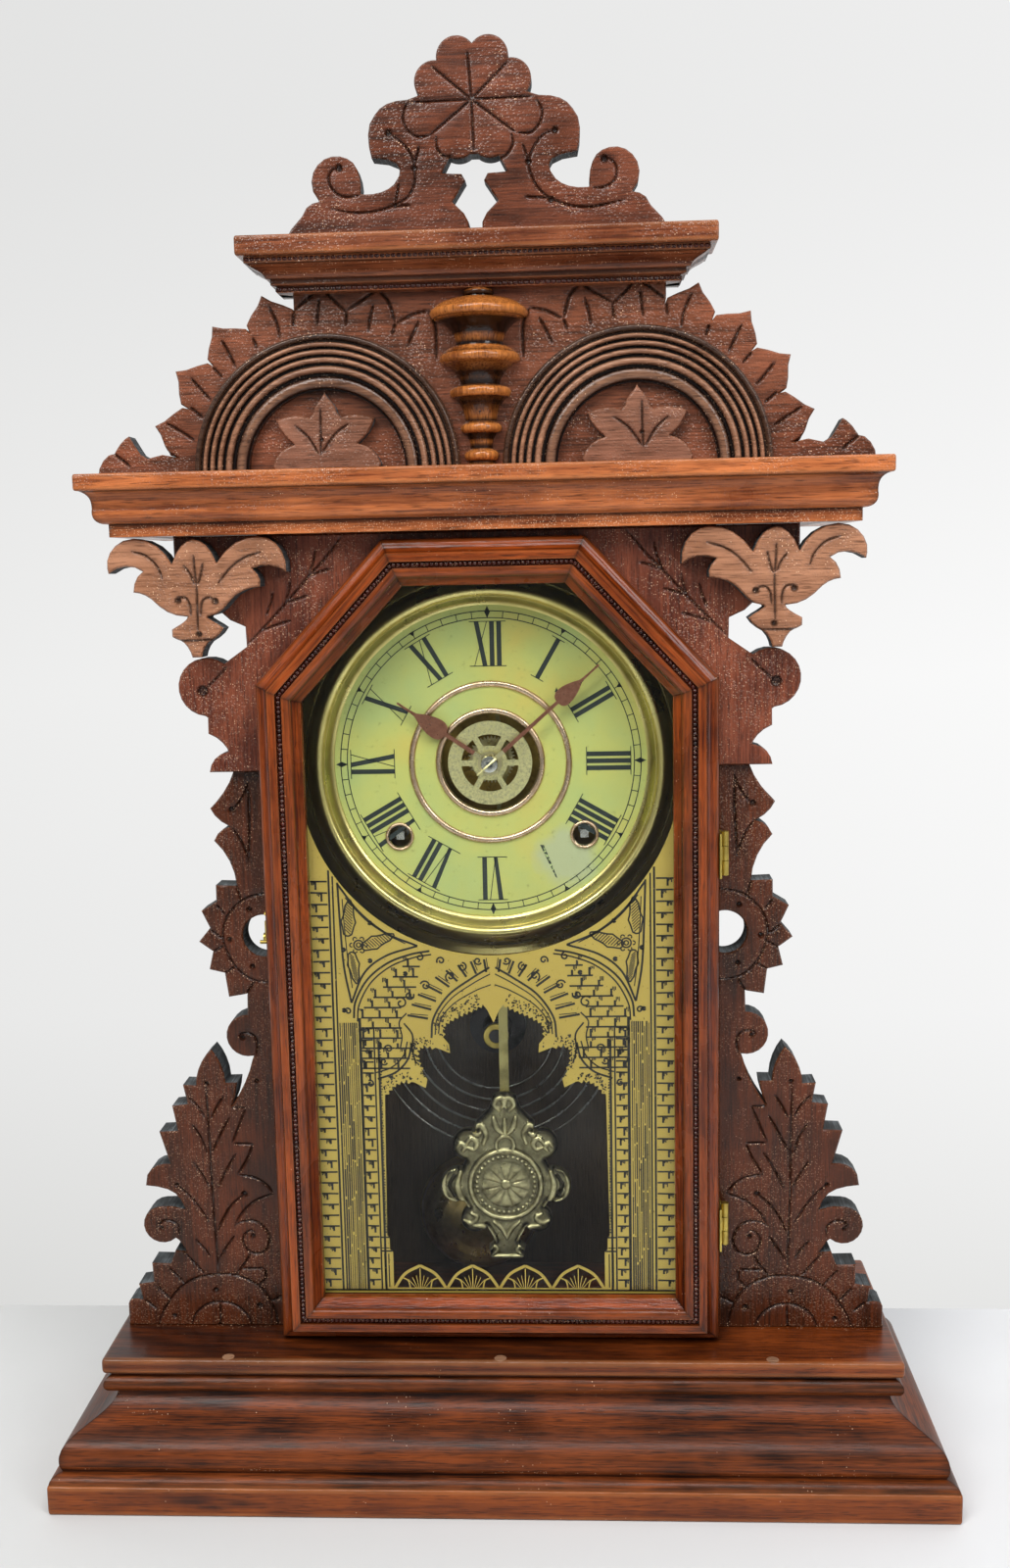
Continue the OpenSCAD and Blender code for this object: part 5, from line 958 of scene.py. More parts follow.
doorRipple = dict(inset=10.2, pitch=1.9, width=2.3, height=1.1)
rippleRoute = [(x, door["back"] - 12.65, z) for x, z in doorOctagon(doorRipple["inset"])]
rippleStrip("doorRipple", rippleRoute, True, lambda a, b: (0, -1, 0), doorRipple["pitch"], doorRipple["width"],
            doorRipple["height"], woods["rippleWalnut"], "door", "walnut_door")
for label, inset, up in (("Lower", 13.6, 1.1), ("Upper", 3.3, 10.8)):
    half, front, z = topCornice["halfWidth"] - inset, topCornice["front"] + inset, topCornice["bottom"] + up
    back = topCornice["back"]
    rippleStrip("topRipple" + label, [(-half, back, z), (-half, front, z), (half, front, z), (half, back, z)], False,
                lambda a, b: (0, -1, 0) if abs(b[0] - a[0]) > 1 else (1 if a[0] > 0 else -1, 0, 0),
                2.1, 1.7, 0.75, woods["rippleWalnut"], "case", "walnut_moulding")
print("mouldings run")


# a board with rounded long edges: its rounded section is carried along X and drawn in at both ends
def roundedBoard(name, lo, hi, radius, material, slot, covers, dirt=None, paintedGlint=None):
    lo, hi = np.array(lo, float), np.array(hi, float)
    quarter = np.radians(np.linspace(0, 90, 5))
    half, middle = (hi - lo)[1:]/2, (hi + lo)[1:]/2
    section = np.concatenate([
        np.column_stack([sy*(half[0] - radius + radius*np.cos(a)), sz*(half[1] - radius + radius*np.sin(a))])
        for sy, sz, a in ((1, 1, quarter), (-1, 1, quarter[::-1]), (-1, -1, quarter), (1, -1, quarter[::-1]))])
    section = evenLoop(section, 1.3)
    length = (hi - lo)[0]
    drawn = radius*(1 - np.sin(quarter))
    inset = np.concatenate([drawn, np.zeros(max(2, int(length/4))), drawn[::-1]])
    t = np.concatenate([radius*(1 - np.cos(quarter)), np.linspace(radius*1.5, length - radius*1.5, len(inset) - 10),
                        length - radius*(1 - np.cos(quarter[::-1]))])
    size = 1 - inset[:, None, None]/half
    flat = section*size + middle
    grid = np.empty(flat.shape[:2] + (3,))
    grid[..., 0], grid[..., 1:] = (lo[0] + t)[:, None], flat
    nearEnd = np.minimum(t, length - t)
    run = runAlong(section)
    grain = np.stack([t[:, None] + 0*run, run + 0*t[:, None]], axis=-1).reshape(-1, 2)*0.001
    isEdge = (np.abs(section[:, 0]) > half[0] - radius*1.01) & (np.abs(section[:, 1]) > half[1] - radius*1.01)
    wearAndHighlight = np.maximum(isEdge[None, :]*0.7, np.exp(-nearEnd/1.2)[:, None]*0.6)
    grimeAndShade = dirt(grid) if dirt else np.zeros(wearAndHighlight.shape)
    sparkle = paintedGlint(grid) if paintedGlint else np.zeros(wearAndHighlight.shape)
    return buildSolids(name, [gridSolid(grid)], material, "case", slot, covers, grain=grain,
                       marks={"wearAndHighlight": wearAndHighlight.ravel(), "grimeAndShade": grimeAndShade.ravel(), "sparkle": sparkle.ravel()})


# a dark stain low on the left of the plinth, and the shelf darker all over, most on its top in streaks, and more so
# towards the left
stains = ((-128, 7.2, 9, 2.6), (-107, 6.4, 7, 2.0), (-118, 4.6, 6, 1.4))


def plinthDirt(grid):
    return np.max([0.75*np.exp(-((grid[..., 0] - x)/w)**2 - ((grid[..., 2] - z)/h)**2) for x, z, w, h in stains],
                  axis=0)


def shelfDarkening(grid):
    streak = 0.75 + 0.25*np.sin(grid[..., 0]*0.11 + grid[..., 1]*0.9)*np.sin(grid[..., 0]*0.043 - grid[..., 1]*0.4)
    return np.where(grid[..., 2] > 58, 0.8*streak, 0.35)*np.clip((130 - grid[..., 0])/110, 0, 1) + 0.08


# pale painted glint points along the foot of the wings
def shelfGlintStrip(grid):
    return np.where((grid[..., 2] > 58.6) & (np.abs(grid[..., 0]) > 92), np.exp(-((grid[..., 1] + 9.3)/1.1)**2), 0)


roundedBoard("plinthBoard", (-187.5, -59.5, 0), (187.5, 59.5, 12.75), 1.1, woods["plinthWalnut"], "walnut_board",
             ["plinth_board"], dirt=plinthDirt)
roundedBoard("shelfBoard", (-167.7, -39.7, 52.25), (167.7, 59.5, 58.7), 1.3, woods["shelfWalnut"], "walnut_board",
             ["base_shelf"], dirt=shelfDarkening, paintedGlint=shelfGlintStrip)
roundedBoard("corniceBoard", (-158.5, -37.1, 418.5), (158.5, 59.5, 424.95), 0.9, woods["corniceWalnut"], "walnut_board",
             ["cornice_board"])
roundedBoard("topCorniceBoard", (-92.5, -29.5, 506.05), (92.5, -0.5, 513.45), 0.9, woods["topWalnut"], "walnut_board",
             ["top_cornice_board"])
print("boards planed")

# ---- turned arches and split spindle

arches = dict(x=61.8, z=425.05, radius=53.5, plane=-10.5)
# each ridge is half an ellipse: distance from the outside, half width, height over the grooves
archRidges = ((1.4, 1.3, 2.2), (4.5, 1.1, 2.5), (7.4, 1.15, 2.5), (10.5, 1.25, 2.4), (14.1, 1.6, 2.4), (19.1, 2.5, 1.8))
across = np.linspace(0.02, 21.98, 120)
crown = np.max([rise*halfRound(across - middle, half) for middle, half, rise in archRidges], axis=0)
archProfile = np.concatenate([[(0, 0)], np.column_stack([across, 3.6 + crown]), [(22, 0)]])
# the grooves and the outer edge painted dark: dirt with painted shade; painted glints on the ridges' flanks
archShadeAndDirt = np.concatenate([[1], np.clip(1.9 - crown/1.15, 0, 1), [1]])
archShadeAndDirt = np.where(archProfile[:, 0] < 3, 0.8, archShadeAndDirt)
archSparkle = np.where((crown > 0.5) & (crown < 1.3) & (across < 17), 0.6, 0)
halfTurn = np.linspace(0, math.pi, 97)[:, None]
archRound = np.column_stack([arches["radius"] - archProfile[:, 0], archProfile[:, 1]])
buildSolids("pedimentArches", [gridSolid(carriedRound(archRound,
                                                      (side*arches["x"], arches["plane"] - 0.02, arches["z"]),
                                                      halfTurn)) for side in (-1, 1)],
            woods["archWalnut"], "case", "walnut_moulding", ["pediment_arches"],
            marks={"grimeAndShade": np.tile((archShadeAndDirt + 0*halfTurn).ravel(), 2),
                   "sparkle": np.tile((np.concatenate([[0], archSparkle, [0]]) + 0*halfTurn).ravel(), 2)})

spindlePlace = dict(y=-10.55, z=425.05)
spindleLine = joinLine(
    (5.2, 0), (5.2, 2.4), arc((4.6, 4.7), 2.3, -70, 60), bezier((4.5, 7.6), (4.4, 9.6), (4.9, 11.6), (6.2, 13.3)),
    arc((6.2, 15.4), 2.05, -70, 60), bezier((6.3, 18.2), (6.6, 22), (8, 24.8), (10.2, 27)),
    arc((10.2, 29.2), 2.15, -70, 60),
    bezier((7.8, 32.2), (8.2, 35.6), (10.4, 38.2), (14, 40.2)), arc((14, 42.3), 2.1, -80, 50),
    bezier((15, 44.2), (13.4, 46), (11.6, 46.6), (9.5, 47.2)), bezier((9.4, 48), (9.6, 51.4), (12, 55.2), (17.4, 57.4)),
    arc((17.4, 59.5), 2.1, -80, 50), bezier((18.4, 61.4), (15.4, 64.2), (10, 65.4), (5.4, 65.9)),
    arc((4.6, 67.5), 1.5, -60, 90),
    (3.0, 69))
spindleLine = spindleLine[np.concatenate([[True], np.diff(spindleLine[:, 1]) > -5])]
spindleHollow = hollowness(joinLine(spindleLine, (0, 69), (0, 0)), 1.3, 0.6)[:len(spindleLine)]
# the necks beside the ridges are painted black, dirt with painted shade: low in radius, with a higher place within
# 2.5 mm
apart = np.abs(spindleLine[:, 1][:, None] - spindleLine[:, 1])
high = np.where(apart < 2.5, spindleLine[:, 0], 0).max(axis=1)
low = np.where(apart < 1.0, spindleLine[:, 0], 99).min(axis=1)
spindleShadeAndDirt = (np.clip((high - spindleLine[:, 0] - 0.4)/1.0, 0, 1)
               * np.clip(1.7 - (spindleLine[:, 0] - low)/0.9, 0, 1)*0.97)
turn = np.radians(np.linspace(180, 360, 29))
radius, height = spindleLine[:, :1], spindleLine[:, 1:]
grid = np.stack([radius*np.cos(turn), spindlePlace["y"] + radius*np.sin(turn), spindlePlace["z"] + height + 0*turn],
                axis=-1)
# the ridges are painted paler: wear with painted highlight
buildSolids("splitSpindle", [gridSolid(grid)], woods["turnedWalnut"], "case", "turned_wood", ["spindle"],
            marks={"grimeAndShade": (spindleShadeAndDirt[:, None] + 0*turn).ravel(),
                   "wearAndHighlight": (np.clip(-spindleHollow, 0, 1)[:, None]*0.5 + 0*turn).ravel()})


# round heads of nails and plugs of putty: a shallow dome turned about its own axis, facing -Y or +Z
def studs(name, places, radius, height, material, slot, up=False):
    angle = np.radians(np.linspace(0, 360, 17)[:-1])
    ring = np.radians(np.array([0, 30, 60, 80]))
    r, h = radius*np.cos(ring)[:, None], height*np.sin(ring)[:, None]
    solids = []
    for x, y, z in places:
        if up:
            grid = np.stack([x + r*np.cos(angle), y + r*np.sin(angle), z + h + 0*angle], axis=-1)
            base = np.stack([x + r[:1]*np.cos(angle), y + r[:1]*np.sin(angle), z - 0.3 + 0*r[:1]*angle], axis=-1)
        else:
            grid = np.stack([x + r*np.cos(angle), y - h + 0*angle, z + r*np.sin(angle)], axis=-1)
            base = np.stack([x + r[:1]*np.cos(angle), y + 0.3 + 0*r[:1]*angle, z + r[:1]*np.sin(angle)], axis=-1)
        solids.append(gridSolid(np.concatenate([base, grid])))
    return buildSolids(name, solids, material, "case", slot)


studs("spindleNails", [(0, -17.2, 447.0), (0, -19.4, 476.5)], 0.9, 0.35, metals["gongIron"], "turned_wood")
studs("shelfPutty", [(-114, -36.5, 58.7), (1, -36.5, 58.7), (114, -36.5, 58.7)], 2.6, 0.15, woods["puttyFill"],
      "walnut_board", up=True)
print("turnings done")

# ---- spun bezel

# axis and front plane of the dial, in millimetres
dialCentre = (0, 1.5, 305)
bezelProfile = evenLoop(joinLine(
    (65.6, 0), bezier((65.6, 1.2), (66.8, 1.6), (67.6, 2.6), (68.6, 4.6), 12), (68.9, 5.2),
    bezier((69.2, 5.2), (70.6, 8.9), (74.2, 7.6), (77.0, 1.9), 24), (77.3, 0.9), (77.7, 0.9), (78.0, 2.4), (79.4, 2.0),
    (82.2, 0.8), (82.6, 0.5),
    (82.6, 0)), 0.6)
# dirt and painted shade on the bezel, darkest in its two grooves: radius, width and strength of each band
bezelBands = ((67.4, 1.3, 0.42), (77.4, 0.45, 0.8), (80.6, 1.6, 0.12), (75.6, 1.6, 0.2))
bezelShadeAndDirt = sum(np.exp(-((bezelProfile[:, 0] - r)/wide)**2)*strength for r, wide, strength in bezelBands)
turn = fullTurn(144)
buildSolids("spunBezel", [gridSolid(carriedRound(bezelProfile, dialCentre, turn), ring=True)], metals["bezelBrass"],
            "case", "bezel_brass", ["bezel"], marks={"grimeAndShade": (np.clip(bezelShadeAndDirt, 0, 1) + 0*turn).ravel()})

# half-round rings pressed on the dial: two round the open centre, and a slim ferrule round each winding hole;
# place of the axis, radius, half width, height
dialRings = ((0, 305, 33.0, 1.3, 1.25), (0, 305, 21.7, 1.3, 1.25), (-39, 274, 5.35, 0.75, 1.2),
             (39, 274, 5.35, 0.75, 1.2))
around = np.radians(np.linspace(180, 0, 11))
buildSolids("dialRings", [gridSolid(carriedRound(np.column_stack([middle + half*np.cos(around), rise*np.sin(around)]),
                                                 (x, dialCentre[1], z), turn), ring=True)
                          for x, z, middle, half, rise in dialRings],
            metals["oldCopper"], "case", "dial_copper", ["dial_rings"])

# ---- printed dial

# numerals from the inner radius outwards, in millimetres; track: radii of the two circles of the minute track
dialPrint = dict(inner=40.3, height=18.4, bar=1.95, pitch=2.95, thin=0.32, serif=0.34, track=(60.2, 63.0), ink=0.1)
dialAxis = np.array([dialCentre[0], dialCentre[2]])


# a thin layer of paint: each outline becomes a plate of that thickness, sunk 0.02 mm into what it lies on
def inkPlates(name, outlines, y, thickness, *rest):
    return buildSolids(name, [gridSolid(np.stack([np.insert(np.asarray(outline, float), 1, y - d, axis=1)
                                                  for d in (-0.02, thickness)])) for outline in outlines], *rest)


# a line of even width as a plate outline, square at its ends
def strokeOutline(points, width):
    p = np.asarray(points, float)
    d = np.gradient(p, axis=0)
    normal = np.column_stack([-d[:, 1], d[:, 0]])/np.maximum(np.linalg.norm(d, axis=1), 1e-9)[:, None]*width/2
    return np.concatenate([p + normal, (p - normal)[::-1]])


def numeralPlates():
    names = ["XII", "I", "II", "III", "IIII", "V", "VI", "VII", "VIII", "IX", "X", "XI"]
    tall, bar, thin, serif = (dialPrint[k] for k in ("height", "bar", "thin", "serif"))
    wide = {"I": dialPrint["pitch"], "V": 6.6, "X": 6.4}
    plates = []
    for hour, name in enumerate(names):
        angle = math.radians(90 - 30*hour)
        out = np.array([math.cos(angle), math.sin(angle)])
        side = np.array([math.sin(angle), -math.cos(angle)])
        total = sum(wide[c] for c in name)
        left = -total/2
        local = []
        for letter in name:
            w = wide[letter]
            if letter == "I":
                a = left + (w - bar)/2
                local.append([(a, 0), (a + bar, 0), (a + bar, tall), (a, tall)])
            elif letter == "V":
                foot, right = left + w*0.5, left + w - 0.5
                local.append([(foot - bar*0.35, 0), (foot + bar*0.45, 0), (left + 0.4 + bar, tall), (left + 0.4, tall)])
                local.append([(foot, 0), (foot + thin, 0), (right, tall), (right - thin, tall)])
            else:
                right = left + w - 0.5
                local.append([(right - bar, 0), (right, 0), (left + 0.5 + bar, tall), (left + 0.5, tall)])
                right = left + w - 0.4
                local.append([(left + 0.4, 0), (left + 0.4 + thin, 0), (right, tall), (right - thin, tall)])
            left += w
        for v in (-serif/2, tall - serif/2):
            grow = 1.5
            if name[-1] == "V" and v < 0 or name == "V":
                grow = 0.6
            end = total/2 + grow
            local.append([(-end, v), (end, v), (end, v + serif), (-end, v + serif)])
        if name == "V":
            local = [[(-1.3, 1.4), (0.1, 0.4), (1.5, tall - 3), (1.1, tall - 2)]]
        for polygon in local:
            p = np.array(polygon)
            plates.append(dialAxis + out*(dialPrint["inner"] + p[:, 1:]) + side*p[:, :1])
    return plates


def trackPlates():
    centre, plates = dialAxis, []
    a, b = dialPrint["track"]
    for minute in range(60):
        angle = math.radians(90 - 6*minute)
        out, side = np.array([math.cos(angle), math.sin(angle)]), np.array([math.sin(angle), -math.cos(angle)])
        plates.append(strokeOutline([centre + out*a, centre + out*b], 0.34))
        if minute % 15 == 0:
            plates.append([centre + out*(b + 2.1), centre + side*1.15 + out*(b - 0.4), centre + out*(b - 3.0),
                           centre - side*1.15 + out*(b - 0.4)])
        elif minute % 5 == 0:
            plates.append([centre + out*(b + 0.3) + side*1.25, centre + out*(b - 1.9),
                           centre + out*(b + 0.3) - side*1.25])
    return plates


marker = [[(27.4, 334.0), (28.9, 334.0), (28.2, 336.0)]]
inkPlates("dialNumerals", numeralPlates() + trackPlates() + marker, dialCentre[1], dialPrint["ink"], dialInk, "case",
          "dial_paper")
trackSection = np.array([(-0.19, -0.02), (0.19, -0.02), (0.19, 0.1), (-0.19, 0.1)])
buildSolids("minuteTrack", [gridSolid(carriedRound(trackSection + [radius, 0], dialCentre, fullTurn(180)), ring=True)
                            for radius in dialPrint["track"]], dialInk, "case", "dial_paper")
print("dial printed")

# ---- collet and taper pin that hold the minute hand

collet = ((1.2, 5.2), (3.5, 5.2), (3.7, 5.5), (3.4, 6.3), (2.2, 6.5), (1.2, 6.4))
buildSolids("handCollet", [gridSolid(carriedRound(collet, (0, 0, dialCentre[2]), fullTurn(48)), ring=True)],
            metals["brightSteel"], "center", "alarm_brass")
around = np.radians(np.linspace(0, 360, 9)[:-1])
# direction of the pin, then stations along it with the pin's radius there
along = np.array([-0.76, 0, -0.65])
grid = np.array([[(s*along[0] - along[2]*r*math.cos(a), -6.9 + r*math.sin(a),
                   dialCentre[2] + s*along[2] + along[0]*r*math.cos(a)) for a in around]
                 for s, r in ((-3.6, 0.5), (-3.4, 0.55), (6.6, 0.36), (6.8, 0.3))])
buildSolids("taperPin", [gridSolid(grid)], metals["discBrass"], "center", "alarm_brass")

# ---- gilt design on the back of the door glass: brickwork, hatched pilasters and a cusped arch, as on old tablets

gilt = dict(back=-16.22, front=-16.32, halfWidth=75.2, bottom=76.5, dialRadius=78.5, dialZ=305.0, ink=0.055,
            lineScale=1.75)


# the same curve with even spacing
def smoothLine(points, spacing=0.8):
    fine = curveThrough(points, 12)
    run = runAlong(fine)
    even = np.linspace(0, run[-1], max(3, int(run[-1]/spacing)))
    return np.column_stack([np.interp(even, run, fine[:, 0]), np.interp(even, run, fine[:, 1])])


# little teeth along a curve, every other point pushed to its left
def toothedLine(points, pitch=2.1, height=1.25):
    line = smoothLine(points, pitch/2)
    d = np.gradient(line, axis=0)
    normal = np.column_stack([-d[:, 1], d[:, 0]])/np.linalg.norm(d, axis=1)[:, None]
    push = np.where(np.arange(len(line)) % 2 == 1, height, 0)
    push[[0, -1]] = 0
    return line + normal*push[:, None]


openingHalf = np.concatenate([
    [(45.3, 80.2), (45.3, 96.4), (46.6, 97.6), (46.6, 102.6), (47.6, 104.0), (46.6, 166.0)],
    toothedLine([(46.4, 166.6), (43.0, 170.6), (38.6, 172.6), (34.0, 171.9)]), [(29.2, 169.4), (28.4, 173.2)],
    toothedLine([(30.6, 176.6), (32.4, 181.2), (32.2, 186.6), (28.6, 188.0), (24.6, 187.0)]),
    [(18.6, 184.6), (18.9, 188.4)],
    toothedLine([(21.4, 191.6), (21.2, 196.6), (15.6, 200.4), (9.4, 203.2), (4.4, 205.6)]),
    [(2.4, 203.0), (0.0, 197.6)]])
opening = np.concatenate([openingHalf, (openingHalf*[-1, 1])[::-1][1:]])
cutAngle = math.asin(gilt["halfWidth"]/gilt["dialRadius"])
lowerArc = np.radians(np.linspace(-90, 90, 61))*cutAngle/(math.pi/2)
outer = np.concatenate([[(-gilt["halfWidth"], gilt["bottom"]), (gilt["halfWidth"], gilt["bottom"])],
                        np.column_stack([gilt["dialRadius"]*np.sin(lowerArc[::-1]),
                                         gilt["dialZ"] - gilt["dialRadius"]*np.cos(lowerArc[::-1])])])


# a thin flat sheet with holes: the filled outlines at its front and back, and walls between
def thinSheet(name, loops, front, back, material, body, slot):
    flat, triangles, _ = fillOutlines(loops)
    count = len(flat)
    lone = loneEdges(triangles, count)
    points = np.concatenate([np.insert(flat, 1, front, axis=1), np.insert(flat, 1, back, axis=1)])
    walls = np.column_stack([lone[:, 1], lone[:, 0], lone[:, 0] + count, lone[:, 1] + count])
    return buildPiece(name, points, [triangles, triangles[:, ::-1] + count, walls], material, body, slot)


thinSheet("giltSheet", [outer, opening[::-1]], gilt["front"], gilt["back"], giltLeaf, "door", "door_glass")


def circleLine(x, z, radius, start=0, end=360, count=20):
    t = np.radians(np.linspace(start, end, count))
    return np.column_stack([x + radius*np.cos(t), z + radius*np.sin(t)])


def dialEdge(x):
    return gilt["dialZ"] - math.sqrt(gilt["dialRadius"]**2 - x*x) - 1.2


# one half of the drawing, as lines with their widths; random numbers are drawn in the order of the lines
def halfDrawing(random):
    drawn = []

    def line(start, end, width):
        drawn.append(([start, end], width))

    def curve(points, width):
        drawn.append((smoothLine(points), width))
    # brick strips outside and inside: rows of bricks between two uprights, with a short joint in each row that steps
    # from side to side
    for left, right, high in ((67.9, 75.0, 262), (50.9, 55.6, 196)):
        for row in range(int((high - 79)/4.85)):
            z = 79 + (row + 1)*4.85
            line((left, z), (right, z + random.uniform(-0.2, 0.2)), 0.42)
            x = left + (right - left)*(0.35 if row % 2 else 0.68)
            line((x, z), (x, z - 4.85*random.uniform(0.4, 0.75)), 0.5)
            for x2 in (x + 0.55, x + 1.1, x + 1.65):
                if x2 < right:
                    line((x2, z), (x2, z - 4.85*random.uniform(0.15, 0.4)), 0.26)
    # the hatched pilaster between them
    for x, high, width in ((67.2, dialEdge(67.2), 0.5), (65.6, dialEdge(65.6), 0.4), (56.4, 200, 0.5), (55.9, 200, 0.3),
                           (50.4, 196, 0.4), (48.6, 190, 0.55)):
        line((x, 79), (x, high), width)
    for x in np.linspace(57.6, 64.6, 9):
        z = 79.0
        while z < 196:
            step = random.uniform(8, 26)
            line((x, z), (x, min(z + step, 198)), random.uniform(0.16, 0.42))
            z += step + random.uniform(0.3, 1.4)
    # slim column beside the opening: speckled shaft on a block
    for x1, z1, x2, z2, width in ((45.6, 96.8, 50.2, 96.8, 0.4), (46.6, 103, 50.2, 103, 0.4),
                                  (46.8, 98.2, 50.0, 98.2, 0.25), (47.2, 80.5, 47.2, 95.6, 0.3),
                                  (48.9, 80.5, 48.9, 95.6, 0.3)):
        line((x1, z1), (x2, z2), width)
    for z in np.arange(105, 190, 1.25):
        line((47.75 + random.uniform(-0.25, 0.35), z), (47.95, z + random.uniform(0.4, 0.9)), 0.34)
    # the great arch above, in double lines, and the brick wall under it
    great = [(58.6, 200), (57.6, 207.4), (52.2, 216.8), (43.6, 223.6), (34, 227.2), (26, 228.6)]
    curve(great, 0.5)
    curve(np.array(great)*[0.975, 1] - [0, 1.5], 0.38)
    for row, z in enumerate(np.arange(178, 224, 4.4)):
        far = 55.6 - max(0, z - 203)*0.95
        near = 35.5 if z < 190 else (38.5 if z < 208 else 33 - (z - 208)*0.2)
        if far - near > 3:
            line((near, z), (far, z + 0.1), 0.42)
            for x in np.arange(near + (2 if row % 2 else 5), far, 7.2):
                line((x, z), (x, z + 4.2*random.uniform(0.5, 0.95)), 0.55)
                for h in (1, 2, 3):
                    line((x + 0.6*h, z + 4.1), (x + 0.6*h, z + 4.1 - random.uniform(0.8, 2.2)), 0.25)
    # rings of the pointed inner arch, and its wedge-shaped stones
    curve([(26.2, 191.2), (25.0, 200), (18.6, 209.6), (9.0, 216.6), (1.2, 221.4)], 0.5)
    curve([(24.6, 192.6), (23.4, 200), (17.4, 208.2), (8.2, 214.6), (1.0, 218.6)], 0.3)
    curve([(23.2, 193), (21.9, 199.6), (16.4, 206), (7.4, 211.4), (0.8, 214.0)], 0.3)
    for degrees in np.arange(16, 86, 8.6):
        a = math.radians(degrees)
        p, q = (28.5*math.cos(a), 192 + 27.5*math.sin(a)), (37.5*math.cos(a), 192 + 33*math.sin(a))
        if q[1] < 226:
            line(p, q, 0.55)
            line((p[0]*1.03 - 0.8, p[1] + 1.4), (q[0]*0.99 - 0.9, q[1] + 0.6), 0.22)
    # lower side arches
    curve([(34.6, 189), (36.4, 182), (41.6, 176.4), (49.4, 173.4)], 0.5)
    curve([(36.4, 189.6), (38.2, 183.6), (43.2, 178.6), (50, 176.2)], 0.36)
    curve([(37.6, 197.6), (34.2, 192.6), (34.4, 186), (32.9, 180)], 0.42)
    curve([(36.4, 202), (39.6, 198), (38.6, 192), (39.4, 187)], 0.36)
    # spandrel: a curved triangle with three hatched leaves and a small flower
    curve([(63.6, 258), (63.0, 240), (62.0, 222), (59.4, 206.6)], 0.5)
    curve([(63.4, 257), (55, 245.6), (44, 236.4), (31, 230.8)], 0.5)
    curve([(59.4, 206.6), (53.6, 219.4), (44.4, 226.6), (31, 230.8)], 0.5)
    curve([(61.8, 251), (61.2, 238), (60.2, 224), (58.8, 213)], 0.26)
    curve([(60.6, 251.6), (52.6, 242.4), (44, 236), (36, 231.8)], 0.26)
    for cx, cz, lean, long, wide in ((59.4, 243.0, 95, 8.5, 2.5), (47.4, 233.0, 158, 8.0, 2.4),
                                     (57.8, 221.6, 262, 7.5, 2.1)):
        a = math.radians(lean)
        t = np.linspace(0, 2*math.pi, 22)
        u = long*(np.cos(t)*0.92)
        v = wide*np.sin(t)*(1 + 0.16*np.cos(7*t))*(1 - 0.35*np.cos(t))
        drawn.append((np.column_stack([cx + u*math.cos(a) - v*math.sin(a), cz + u*math.sin(a) + v*math.cos(a)]), 0.4))
        for s in np.linspace(-0.7, 0.7, 11):
            mid = np.array([cx + s*long*math.cos(a), cz + s*long*math.sin(a)])
            reach = wide*math.sqrt(1 - (s/0.95)**2)*0.75*0.8
            line(mid - [reach, reach], mid + [reach, reach], 0.24)
    drawn += [(circleLine(55.6, 231.4, 2.0), 0.4), (circleLine(55.6, 231.4, 0.9), 0.35)]
    for degrees in range(0, 360, 60):
        a = math.radians(degrees)
        drawn.append((circleLine(55.6 + 2.9*math.cos(a), 231.4 + 2.9*math.sin(a), 0.8, degrees - 110, degrees + 110, 8),
                      0.32))
    for x, z in ((62.0, 229.4), (50.6, 240.8), (51.0, 224.6), (62.6, 203.4), (36.4, 219.0)):
        drawn.append((circleLine(x, z, 0.45, count=9), 0.75))
    # small scrolls of foliage over the arches: place, radius and the angle where each begins
    for x, z, r, start in ((38.6, 206.4, 2.6, 40), (35.0, 209.6, 2.0, 160), (28.2, 213.8, 2.2, 20),
                           (17.6, 217.6, 2.2, 300), (12.6, 221.6, 2.0, 90), (44.4, 186.6, 1.8, 0),
                           (46.6, 181.0, 1.6, 200), (52.6, 171.4, 1.6, 60), (61.0, 203.0, 1.5, 10),
                           (6.0, 224.2, 1.7, 210), (30.2, 226.0, 1.6, 100), (21.4, 224.4, 1.8, 330)):
        t = np.linspace(0, 1, 16)
        a = np.radians(start + 420*t)
        drawn.append((np.column_stack([x + r*(1 - 0.75*t)*np.cos(a), z + r*(1 - 0.75*t)*np.sin(a)]), 0.42))
    # stippled band beside the cusps
    inner = openingHalf[6:-2]
    for _ in range(260):
        x, z = inner[random.integers(len(inner))] + random.normal(0, 0.4, 2)
        away = random.uniform(1.3, 4.6)
        px, pz = x + away*(0.55 if x > 4 else 0.1), z + away*0.9
        if pz < 214 - 0.02*px*px:
            line((px, pz), (px + random.uniform(0.2, 0.8), pz + random.uniform(-0.4, 0.4)), random.uniform(0.25, 0.5))
    return drawn


def giltDrawing():
    random = np.random.default_rng(11)
    drawn = [(np.asarray(points, float)*[side, 1], width) for side in (1, -1) for points, width in halfDrawing(random)]
    drawn.append(([(-75, 79.2), (75, 79.2)], 0.45))
    return [strokeOutline(points, width*gilt["lineScale"]) for points, width in drawn]


inkPlates("giltDrawing", giltDrawing(), gilt["front"], gilt["ink"], tabletInk, "door", "door_glass")

